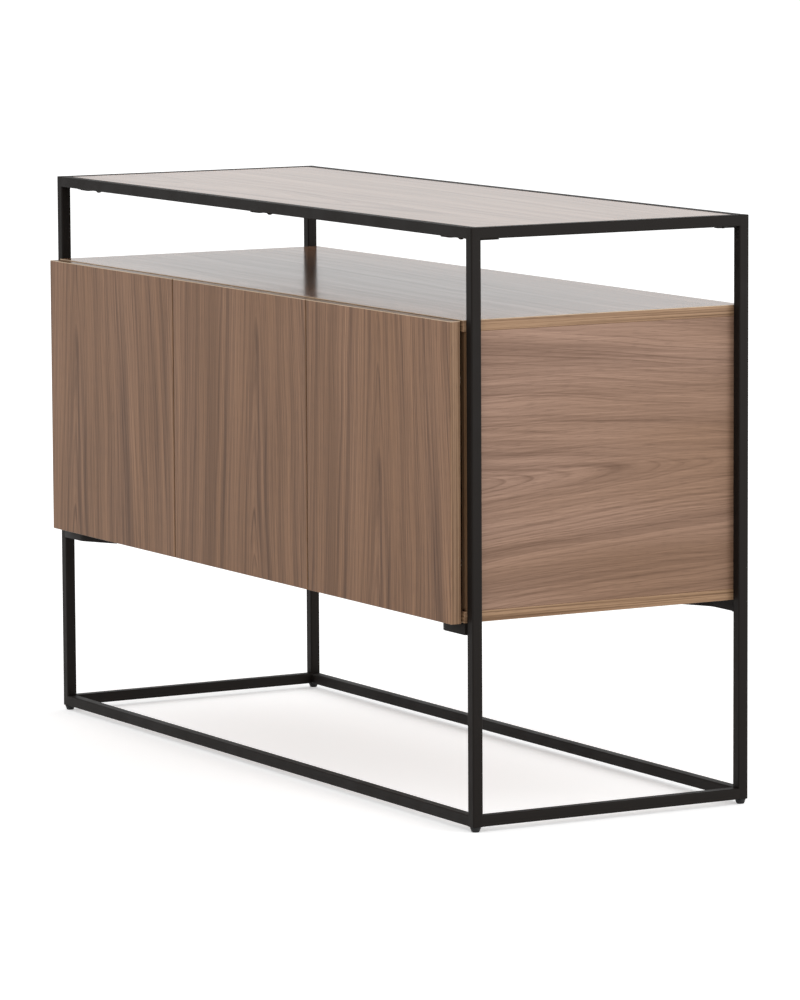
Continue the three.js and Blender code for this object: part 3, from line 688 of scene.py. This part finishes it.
def square_section(side, corner):
    """A rounded square, counter-clockwise: corner centre plus radius times direction. The arc's first
    and last point are repeated a little way along the flats, to hold them flat."""
    share = np.concatenate([[0.0], np.linspace(0, 1, CORNER_STEPS + 1), [1.0]])
    slide = np.tile(np.concatenate([[-HOLD], np.zeros(CORNER_STEPS + 1), [HOLD]]), 4)[:, None]
    quarter = np.repeat(np.arange(4), len(share))
    turn = math.pi / 2 * (quarter + np.tile(share, 4))
    signs = np.array([[1, 1], [-1, 1], [-1, -1], [1, -1]])[quarter]
    out, onward = np.stack([np.cos(turn), np.sin(turn)], -1), np.stack([-np.sin(turn), np.cos(turn)], -1)
    return (side / 2 - corner) * signs + corner * out + slide * onward


def end_caps(rows, columns):
    """The first row, turned back, and the last row of a closed grid, each as one face."""
    row = np.arange(columns)
    return np.stack([row[::-1], row + (rows - 1) * columns])


def tube_surface(low, high, axis, ends):
    """The section carried along axis; ends holds (distance from the end, pull-in) for each ring."""
    low, high = np.array(low), np.array(high)
    a, b = (axis + 1) % 3, (axis + 2) % 3
    rings = [(low[axis] + d, i) for d, i in ends] + [(high[axis] - d, i) for d, i in ends[::-1]]
    sections = np.stack([square_section(TUBE - 2 * inset, CORNER) for _, inset in rings])
    rows, columns = sections.shape[:2]
    points = np.zeros((rows, columns, 3))
    points[..., a] = sections[..., 0] + (low[a] + high[a]) / 2
    points[..., b] = sections[..., 1] + (low[b] + high[b]) / 2
    points[..., axis] = np.array([at for at, _ in rings])[:, None]
    return points.reshape(-1, 3), [grid_quads(rows, columns, around=True), end_caps(rows, columns)]


print("tube side", round(TUBE, 4), "points to a ring", len(square_section(TUBE, CORNER)))

# %% Legs and rails
LEG_ENDS = ((0.0, 0.0005), (0.00015, 0.00015), (0.0005, 0.0))
RAIL_ENDS = ((-CORNER, 0.0),)


def rail_box(name):
    """The box of a rail's tube alone: its solid may also carry tabs, on the inner side and below."""
    low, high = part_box(name)
    axis = X if name.endswith(("front", "back")) else Y
    beside = Y if axis == X else X
    if name.endswith(("front", "left")):
        high[beside] = low[beside] + TUBE
    else:
        low[beside] = high[beside] - TUBE
    low.z = high.z - TUBE
    return low, high, axis


def painted(name, surface):
    """A painted tube of the frame, in place of its solid."""
    return put(name + "_painted", surface, "cabinet", paint, (name,), sharp=50.0)


legs = [painted(name, tube_surface(*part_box(name), Z, LEG_ENDS)) for name in named("leg_")]
rails = [painted(name, tube_surface(*rail_box(name), RAIL_ENDS)) for name in named("rail_")]
print("legs:", len(legs), "rails:", len(rails))

# %% [markdown]
# ## Tabs, gussets and brackets
# The top board lies on small plates welded under its rails: tabs along the long rails, and a
# three-cornered gusset in each corner. A plate could be a cube scaled flat, but a cut plate has
# eased edges, which catch a line of light. So it is an outline, drawn in a little at its lower and
# upper rims. Moving each corner along the bisector of its two edges draws an outline in by the same
# amount everywhere.

# %% Plate surface
PLATE_EASE = 0.0004
RIM_STEP = 0.3


def drawn_in(outline, amount):
    """Each corner moves by amount along both neighbouring edge normals, shared as a mitre."""
    edge = np.roll(outline, -1, 0) - outline
    normal = np.stack([-edge[:, 1], edge[:, 0]], -1) / np.linalg.norm(edge, axis=1, keepdims=True)
    before = np.roll(normal, 1, 0)
    share = 1.0 + (normal * before).sum(axis=1, keepdims=True)
    return outline + amount * (normal + before) / share


def plate_surface(outline, z0, z1, ease=PLATE_EASE):
    """An outline, counter-clockwise from above, raised from z0 to z1 with both rims eased."""
    step = RIM_STEP * ease
    rims = ((z0, ease), (z0 + step, step), (z0 + ease, 0.0), (z1 - ease, 0.0), (z1 - step, step), (z1, ease))
    flat = np.stack([drawn_in(outline, inset) for _, inset in rims])
    heights = np.broadcast_to(np.array([z for z, _ in rims])[:, None], flat.shape[:2])
    points = np.dstack([flat, heights]).reshape(-1, 3)
    return points, [grid_quads(*flat.shape[:2], around=True), end_caps(*flat.shape[:2])]


MIDDLE_Y = (leg_low.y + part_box("leg_back_left")[1].y) / 2


def mirrored(surface, x_sign, y_sign):
    """The surface reflected in the middle planes; one reflection also turns its faces back round."""
    points, faces = surface
    flipped = points * (x_sign, y_sign, 1.0) + (0.0, MIDDLE_Y * (1 - y_sign), 0.0)
    return flipped, [array[:, ::-1] for array in faces] if x_sign * y_sign < 0 else faces


print("middle of the depth:", round(MIDDLE_Y, 5))

# %% Tabs and gussets
INNER_X, INNER_Y = leg_high.x, leg_high.y
TAB_TOP = leg_high.z - TUBE
TAB_THICK = 0.002
TAB_HALF = 0.012
TAB_REACH = 0.020
TAB_LAP = 0.009
TAB_FROM_LEG = 0.062
GUSSET = 0.030

tab = np.array([[-TAB_HALF, INNER_Y - TAB_LAP], [TAB_HALF, INNER_Y - TAB_LAP],
                [TAB_HALF, INNER_Y + TAB_REACH], [-TAB_HALF, INNER_Y + TAB_REACH]])
gusset = np.array([[INNER_X - TAB_LAP, INNER_Y], [INNER_X + GUSSET, INNER_Y], [INNER_X, INNER_Y + GUSSET],
                   [INNER_X - TAB_LAP, INNER_Y + GUSSET]])
tab_places = [0.0, -INNER_X - TAB_FROM_LEG, INNER_X + TAB_FROM_LEG]
plates = [mirrored(plate_surface(tab + (x, 0.0), TAB_TOP - TAB_THICK, TAB_TOP), 1, y_sign)
          for x in tab_places for y_sign in (1, -1)]
plates += [mirrored(plate_surface(gusset, TAB_TOP - TAB_THICK, TAB_TOP), x_sign, y_sign)
           for x_sign in (1, -1) for y_sign in (1, -1)]
put("top_board_tabs", joined(plates), "cabinet", paint)
print("tabs and gussets:", len(plates))

# %% [markdown]
# Each bracket is one strip of sheet. Seen from above it leaves the leg along the front and turns
# 30 degrees towards the middle; seen along its length it is an angle, with a face hanging down and
# a plate under the cabinet. It could be folded by hand from a plane, but a grid says it all: along
# the path the outer edge and the inner edge run side by side, and across it the section goes up the
# face, round the bend and inwards. Solidify gives the sheet its thickness.

# %% Brackets
SHEET = 0.0025
FOLD = 0.003
SHEET_EDGE = 0.0004
ARM_ANGLE = math.radians(30.0)
ARM_START = 0.055
ARM_LENGTH = 0.060
ARM_WIDTH = 0.040
ARM_CURVE = 0.006
BACK_INSET = 0.012
ARM_ALONG = np.array([math.cos(ARM_ANGLE), math.sin(ARM_ANGLE)])
ARM_INWARDS = np.array([-ARM_ALONG[1], ARM_ALONG[0]])


def bracket_inset(y_sign):
    """The back brackets sit a little way in from the outside of their legs."""
    return 0.0 if y_sign > 0 else BACK_INSET


def bracket_surface(x0, y0, z0, z1):
    """Rows along the path, columns over the section: outer point, then in towards the inner edge.
    The path is a line, a quadratic curve (squared weights of three points) and a second line."""
    bend = np.linspace(0.0, 1.0, 7)
    corner = np.array([x0 + ARM_START, y0])
    weights = np.stack([(1 - bend) ** 2, 2 * bend * (1 - bend), bend ** 2], -1)
    curve = weights @ np.stack([corner - (ARM_CURVE, 0.0), corner, corner + ARM_CURVE * ARM_ALONG])
    outer = np.vstack([[x0, y0], curve, corner + ARM_LENGTH * ARM_ALONG])
    tip = outer[-1] + ARM_WIDTH * ARM_INWARDS
    share = np.linspace(0.0, 1.0, len(outer))[:, None]
    inner = (1 - share) * np.array([x0, y0 + TUBE]) + share * tip
    inwards = (inner - outer) / np.linalg.norm(inner - outer, axis=1, keepdims=True)
    turn = np.linspace(0.0, math.pi / 2, 6)
    depth = np.concatenate([[0.0], FOLD * (1 - np.cos(turn))])
    height = np.concatenate([[z0], z1 - FOLD + FOLD * np.sin(turn)])
    flat = outer[:, None, :] + depth[None, :, None] * inwards[:, None, :]
    points = np.concatenate([flat, inner[:, None, :]], axis=1)
    heights = np.broadcast_to(np.append(height, z1), points.shape[:2])
    return np.dstack([points, heights]).reshape(-1, 3), [grid_quads(*points.shape[:2])]


def bracket(name, x_sign, y_sign):
    """The front left strip, mirrored to its corner, with a lip where it is welded to the leg."""
    low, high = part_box(name)
    surface = bracket_surface(INNER_X + SHEET / 2, leg_low.y + bracket_inset(y_sign), low.z, high.z)
    strip = put(name + "_strip", mirrored(surface, x_sign, y_sign), "cabinet", paint, (name,))
    thick = strip.modifiers.new("sheet", "SOLIDIFY")
    thick.thickness, thick.offset = SHEET, -1.0
    round_over = strip.modifiers.new("edges", "BEVEL")
    round_over.width, round_over.segments, round_over.limit_method = SHEET_EDGE, 2, "ANGLE"
    outline = np.array([[INNER_X, leg_low.y], [INNER_X + SHEET, leg_low.y],
                        [INNER_X + SHEET, INNER_Y], [INNER_X, INNER_Y]])
    lip = mirrored(plate_surface(outline, low.z, high.z), x_sign, y_sign)
    put(name + "_lip", lip, "cabinet", paint)
    return strip


CORNERS = {"front_left": (1, 1), "front_right": (-1, 1), "back_left": (1, -1), "back_right": (-1, -1)}
brackets = [bracket("bracket_" + corner, *signs) for corner, signs in CORNERS.items()]
print("brackets:", [b.name for b in brackets])

# %% [markdown]
# ## Glides and screws
# A glide is turned, so its surface is a profile carried round an axis; Blender's Screw modifier does
# the same to a drawn line. A screw head is turned too, but its cross recess depends on the angle: the
# dome's height drops where a point lies within the arms of the cross. So both are formulas. Heads are
# made once, pointing up, and laid along any direction.

# %% Turned surfaces
GLIDE_SIDES = 48
FOOT_SHARE = 0.78
STEM = 0.0039
PAD_GAP = 0.00005
# Steps of radius and height from the corner that each rim rounds, in millimetres.
FOOT_RIM = np.array([(-2.2, 0.0), (-1.0, 0.25), (-0.3, 0.9), (0.0, 1.7)]) / 1000
PAD_RIM = np.array([(-0.3, -1.8), (0.0, -1.0), (-0.2, -0.3), (-0.8, 0.0)]) / 1000
STEM_RIM = np.array([(0.0, -0.8), (-0.8, 0.0)]) / 1000


def turned(profile, sides):
    """A profile of (radius, height) carried round Z, with a flat face at each end."""
    profile = np.array(profile)
    angle = 2 * math.pi * np.arange(sides) / sides
    points = np.stack([profile[:, :1] * np.cos(angle), profile[:, :1] * np.sin(angle),
                       np.repeat(profile[:, 1:], sides, 1)], -1)
    rows = len(profile)
    return points.reshape(-1, 3), [grid_quads(rows, sides, around=True), end_caps(rows, sides)]


def glide(name):
    """The pad and stem of one glide, from the box of its solid, with rounded rims."""
    low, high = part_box(name)
    radius, tall = (high.x - low.x) / 2, high.z - low.z
    pad, foot = leg_low.z - PAD_GAP, radius * FOOT_SHARE
    pad_part = np.vstack([FOOT_RIM + (foot, 0.0), PAD_RIM + (radius, pad)])
    stem_part = np.vstack([(STEM, pad), STEM_RIM + (STEM, tall)])
    points, faces = turned(np.vstack([pad_part, stem_part]), GLIDE_SIDES)
    surface = (points + ((low.x + high.x) / 2, (low.y + high.y) / 2, low.z), faces)
    return put(name + "_turned", surface, body_of(name), black_shell, (name,))


glides = [glide(name) for name in named("glide_")]
print("glides:", [g.name for g in glides])

# %% Screw heads
HEAD_SIDES = 48
RIM_HEIGHT = 0.25
CROSS_HALF = 0.13
CROSS_REACH = 0.55
CROSS_DEPTH = 0.55
DOME_POWER = 2.4


def screw_head(radius, height):
    """A dome, whose height falls with a power of the share of the radius, sunk inside a cross.
    Twelve rings cover the dome, two the rim, and the last one drops to the seat."""
    share = np.concatenate([np.linspace(0.02, 0.94, 12), [0.985, 1.0, 1.0]])[:, None]
    angle = 2 * math.pi * np.arange(HEAD_SIDES)[None, :] / HEAD_SIDES
    x, y = share * np.cos(angle), share * np.sin(angle)
    arm = np.minimum(np.abs(x), np.abs(y)) < CROSS_HALF
    cross = arm & (np.maximum(np.abs(x), np.abs(y)) < CROSS_REACH)
    dome = RIM_HEIGHT + (1 - RIM_HEIGHT) * (1 - share ** DOME_POWER) + 0 * angle
    rise = np.where(cross, dome - CROSS_DEPTH * (1 - share), dome)
    rise[-1] = 0.0
    points = np.stack([radius * x, radius * y, height * rise], -1)
    sheet, caps = grid_quads(*rise.shape, around=True), end_caps(*rise.shape)
    return points.reshape(-1, 3), [sheet[:, ::-1], caps[:, ::-1]]


def laid(surface, place, direction):
    """Turns a surface from +Z to direction and moves it to place."""
    turn = np.array(Vector((0, 0, 1)).rotation_difference(Vector(direction)).to_matrix())
    return surface[0] @ turn.T + np.array(place), surface[1]


tab_screw = screw_head(0.0046, 0.0042)
wood_screw = screw_head(0.0042, 0.0021)
small_screw = screw_head(0.0032, 0.0014)
print("points to a screw head:", len(small_screw[0]))

# %% Frame screws
DOWN = (0.0, 0.0, -1.0)
TAB_SCREW_REACH = 0.015
GUSSET_SCREW_REACH = 0.010
ARM_SCREW_REACH = 0.02
ARM_SCREWS = (0.017, 0.043)

gusset_x = -INNER_X - GUSSET_SCREW_REACH
under = [(tab_screw, x, TAB_SCREW_REACH) for x in tab_places]
under += [(wood_screw, x, GUSSET_SCREW_REACH) for x in (gusset_x, -gusset_x)]
heads = [mirrored(laid(head, (x, INNER_Y + reach, TAB_TOP - TAB_THICK), DOWN), 1, y_sign)
         for head, x, reach in under for y_sign in (1, -1)]
arm_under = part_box("bracket_front_left")[1].z - SHEET
arm_middle = np.array([INNER_X + ARM_START, leg_low.y]) + ARM_SCREW_REACH * ARM_INWARDS
for x_sign, y_sign in CORNERS.values():
    for reach in ARM_SCREWS:
        x, y = arm_middle + reach * ARM_ALONG + (0.0, bracket_inset(y_sign))
        heads.append(mirrored(laid(wood_screw, (x, y, arm_under), DOWN), x_sign, y_sign))
put("frame_screws", joined(heads), "cabinet", paint)
print("frame screws:", len(heads))

# %% [markdown]
# ## Hinges and latches
# A concealed hinge is a pressed pot in the door with two ears, a pin across the pot, a cranked arm
# and a mounting plate on the board. The solids have the right sizes but hard edges, and a pressed pot
# shines along its rolled rim. So the pot, its pin and the latch plungers are turned, and the ears are
# plates with rounded outer corners. Two screws hold each pot, two each mounting plate and one each
# arm; the latches hang from one screw at their back end.

# %% Hinge cups
BACKWARD = (0.0, 1.0, 0.0)
# Radius and height over the door's back, in millimetres.
POT = np.array([(0.5, -12.5), (16.9, -12.5), (17.3, -12.3), (17.5, -11.9), (17.5, 0.05), (18.7, 0.05),
                (19.0, 0.25), (19.0, 1.0), (18.8, 1.25), (17.0, 1.25), (16.7, 1.0), (16.7, -11.2),
                (16.5, -11.6), (16.1, -11.7), (0.5, -11.7)]) / 1000
POT_RIM = 0.00125
POT_SIDES = 64
PIN = np.array([(0.6, -9.6), (1.0, -9.5), (1.0, 9.5), (0.6, 9.6)]) / 1000
PIN_SIDES = 16
PIN_TO_EDGE = 0.0141
PIN_DEPTH = 0.0092
EAR_HALF = 0.0075
EAR_ROOT = 0.017
EAR_REACH = 0.026
EAR_ROUND = 0.004
EAR_BOTTOM = 0.00005
EAR_TOP = 0.00115
EAR_EASE = 0.0003
EAR_SCREW = 0.0225
EAR_SCREW_SEAT = 0.0011
ear_turn = np.radians(np.linspace(0, 90, 7))
ear_corner = np.stack([EAR_HALF - EAR_ROUND + EAR_ROUND * np.cos(ear_turn),
                       EAR_REACH - EAR_ROUND + EAR_ROUND * np.sin(ear_turn)], -1)
ear = np.vstack([[(-EAR_HALF, EAR_ROOT), (EAR_HALF, EAR_ROOT)], ear_corner, ear_corner[::-1] * (-1, 1)])


def hinge_cup(name):
    """Pot, two ears and the pin, placed by the solid's box; the pin lies towards the hinge edge."""
    low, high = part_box(name)
    edge = -1 if "_left_" in name else 1
    back, middle = high.y - POT_RIM, (low + high) / 2
    ears = [plate_surface(ear * turn, EAR_BOTTOM, EAR_TOP, EAR_EASE) for turn in (1, -1)]
    pieces = [laid(piece, (middle.x, back, middle.z), BACKWARD) for piece in [turned(POT, POT_SIDES)] + ears]
    pin_points, pin_faces = turned(PIN, PIN_SIDES)
    pieces.append((pin_points + (middle.x + edge * PIN_TO_EDGE, back - PIN_DEPTH, middle.z), pin_faces))
    put(name + "_pressed", joined(pieces), body_of(name), nickel, (name,), sharp=40.0)
    return [laid(small_screw, (middle.x, back + EAR_SCREW_SEAT, middle.z + s * EAR_SCREW), BACKWARD)
            for s in (1, -1)]


SIDES = ("left", "middle", "right")
ENDS = ("lower", "upper")
for side in SIDES:
    heads = [head for end in ENDS for head in hinge_cup(f"hinge_cup_{side}_{end}")]
    put(f"hinge_screws_{side}", joined(heads), f"{side}_door", zinc)
print("hinge cups:", len(SIDES) * len(ENDS), "screws to a door:", len(heads))

# %% Plungers
PLUNGER_RADIUS = 0.0046
PLUNGER_TIP = [(0.0026, 0.0), (0.0032, 0.0002), (0.0036, 0.0008), (PLUNGER_RADIUS, 0.002)]
PLUNGER_EASE = 0.0004
PLUNGER_SIDES = 40


def plunger(name):
    """A turned plunger with a rounded tip; its length and place come from the box of its solid."""
    low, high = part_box(name)
    long = high.y - low.y
    end = [(PLUNGER_RADIUS, long - PLUNGER_EASE), (PLUNGER_RADIUS - PLUNGER_EASE, long)]
    seat = ((low.x + high.x) / 2, low.y, (low.z + high.z) / 2)
    surface = laid(turned(PLUNGER_TIP + end, PLUNGER_SIDES), seat, BACKWARD)
    return put(name + "_moulded", surface, body_of(name), white_shell, (name,))


plungers = [plunger(f"latch_plunger_{side}") for side in SIDES]
print("plungers:", [p.name for p in plungers])

# %% Screws inside and behind the cabinet
WING_THICK = 0.0014
WING_SCREW = 0.0165
ARM_SCREW_BACK = 0.008
LATCH_SCREW_FROM_END = 0.005
PARTITION_SCREWS = (0.33, 0.62)
SHELF_SCREW_HEIGHT = 0.4775
SHELF_SCREWS = (-0.5, -0.27, -0.04, 0.32, 0.46)


def hinge_screws(side, end):
    """The heads on one hinge's mounting plate and arm, facing into the cabinet."""
    inward = 1 if side == "left" else -1
    low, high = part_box(f"hinge_plate_{side}_{end}")
    middle = (low + high) / 2
    wing = (low.x if inward > 0 else high.x) + inward * WING_THICK
    arm_low, arm_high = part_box(f"hinge_arm_{side}_{end}")
    arm_face = arm_high.x if inward > 0 else arm_low.x
    places = [(wing, middle.y, middle.z + s * WING_SCREW) for s in (1, -1)]
    places.append((arm_face, middle.y + ARM_SCREW_BACK, middle.z))
    return [laid(small_screw, place, (inward, 0.0, 0.0)) for place in places]


def latch_screw(side):
    """The head under the back end of one latch."""
    low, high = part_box(f"latch_housing_{side}")
    return laid(small_screw, ((low.x + high.x) / 2, high.y - LATCH_SCREW_FROM_END, low.z), DOWN)


fixings = []
for side in SIDES:
    fixings += [head for end in ENDS for head in hinge_screws(side, end)]
    fixings.append(latch_screw(side))
partition_low, partition_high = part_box("cabinet_partition")
partition_x = (partition_low.x + partition_high.x) / 2
back_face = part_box("cabinet_back")[1].y
panel = [(partition_x, z) for z in PARTITION_SCREWS] + [(x, SHELF_SCREW_HEIGHT) for x in SHELF_SCREWS]
fixings += [laid(small_screw, (x, back_face, z), BACKWARD) for x, z in panel]
put("inside_screws", joined(fixings), "cabinet", zinc)
print("inside screws:", len(fixings))

# %% [markdown]
# ## Shelf pegs and the solids that stay
# A loose shelf rests on four turned pegs, each let into the board beside it. The hinge arms, the
# mounting plates and the latch housings could be rebuilt too, but their folded shapes are already in
# the solids, so these stay and only get their finish.

# %% Shelf pegs
PEG_RADIUS = 0.0025
PEG_LET_IN = 0.004
PEG_REACH = 0.008
PEG_SIDES = 24
PEG_FROM_EDGE = 0.045
peg_tip = [(PEG_RADIUS, PEG_REACH - 0.0005), (PEG_RADIUS - 0.0004, PEG_REACH)]
peg = turned([(PEG_RADIUS, -PEG_LET_IN)] + peg_tip, PEG_SIDES)
pegs = []
for shelf in named("shelf_"):
    low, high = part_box(shelf)
    for y in (low.y + PEG_FROM_EDGE, high.y - PEG_FROM_EDGE):
        pegs.append(laid(peg, (low.x, y, low.z - PEG_RADIUS), (1.0, 0.0, 0.0)))
        pegs.append(laid(peg, (high.x, y, low.z - PEG_RADIUS), (-1.0, 0.0, 0.0)))
put("shelf_pegs", joined(pegs), "cabinet", nickel)
print("shelf pegs:", len(pegs))

# %% Finishes on the solids that stay
STAYING = {"hinge_arm": nickel, "hinge_plate": nickel, "latch_housing": grey_shell}
for start, finish in STAYING.items():
    for name in named(start):
        nodes[name].data.materials.clear()
        nodes[name].data.materials.append(finish)
print("finished solids:", sum(len(named(start)) for start in STAYING))

# %% [markdown]
# ## Floor, light and surroundings
# The piece stands in a white studio. A pale plane is enough for the floor and keeps a soft shadow;
# seen from below it is clear, so that the underside can be looked at. The sky is white where it is
# seen or mirrored and a little dimmer where it lights the piece, so that the wood renders about as
# its colours are written. A real studio has many lamps; here one large soft lamp on the right lifts
# that side, and the sky does the rest.

# %% Floor
FLOOR_HALF = 60.0
FLOOR_GREY = (0.88, 0.88, 0.88, 1.0)
FLOOR_ROUGH = 0.9
FLOOR_GLOW = 0.42
WHITE = (1.0, 1.0, 1.0, 1.0)


def seen_rays(tree):
    """1 for rays that come from the camera or from a mirror or glass, else 0."""
    ray = tree.nodes.new("ShaderNodeLightPath").outputs
    mirror = maths(tree, "MAXIMUM", ray["Is Glossy Ray"], ray["Is Transmission Ray"])
    return maths(tree, "MAXIMUM", ray["Is Camera Ray"], mirror)


floor_mesh = bpy.data.meshes.new("floor")
floor_corners = [(x * FLOOR_HALF, y * FLOOR_HALF, 0.0) for x, y in ((-1, -1), (1, -1), (1, 1), (-1, 1))]
floor_mesh.from_pydata(floor_corners, [], [(0, 1, 2, 3)])
floor = bpy.data.objects.new("floor", floor_mesh)
scene.collection.objects.link(floor)
floor_paint, tree, shader = material("studio_floor")
shader.inputs["Base Color"].default_value = FLOOR_GREY
shader.inputs["Roughness"].default_value = FLOOR_ROUGH
shader.inputs["Specular IOR Level"].default_value = 0.0
shader.inputs["Emission Color"].default_value = WHITE
tree.links.new(maths(tree, "MULTIPLY", seen_rays(tree), FLOOR_GLOW), shader.inputs["Emission Strength"])
below = tree.nodes.new("ShaderNodeNewGeometry").outputs["Backfacing"]
tree.links.new(maths(tree, "SUBTRACT", 1.0, below), shader.inputs["Alpha"])
floor_mesh.materials.append(floor_paint)
print("floor:", 2 * FLOOR_HALF, "m wide")

# %% Sky and lamp
SKY_LIGHT = 0.92
SKY_SEEN = 1.0
world = bpy.data.worlds.new("studio")
scene.world = world
world.use_nodes = True
tree = world.node_tree
tree.nodes.clear()
soft = node(tree, "ShaderNodeBackground", {"Color": WHITE, "Strength": SKY_LIGHT})
white = node(tree, "ShaderNodeBackground", {"Color": WHITE, "Strength": SKY_SEEN})
mixed = node(tree, "ShaderNodeMixShader", {0: seen_rays(tree), 1: soft.outputs[0], 2: white.outputs[0]})
tree.links.new(mixed.outputs[0], tree.nodes.new("ShaderNodeOutputWorld").inputs[0])


def lamp(name, place, target, size, watts):
    """A square soft lamp at place, turned to target."""
    light = bpy.data.lights.new(name, "AREA")
    light.shape = "SQUARE"
    light.size = size
    light.energy = watts
    made = bpy.data.objects.new(name, light)
    made.location = place
    made.rotation_euler = (Vector(target) - Vector(place)).to_track_quat("-Z", "Y").to_euler()
    scene.collection.objects.link(made)
    return made


right_lamp = lamp("right_lamp", place=(4.2, 2.1, 1.6), target=(0.5, 0.0, 0.4), size=2.2, watts=64.0)
print("lamp:", right_lamp.name, right_lamp.data.energy, "W")
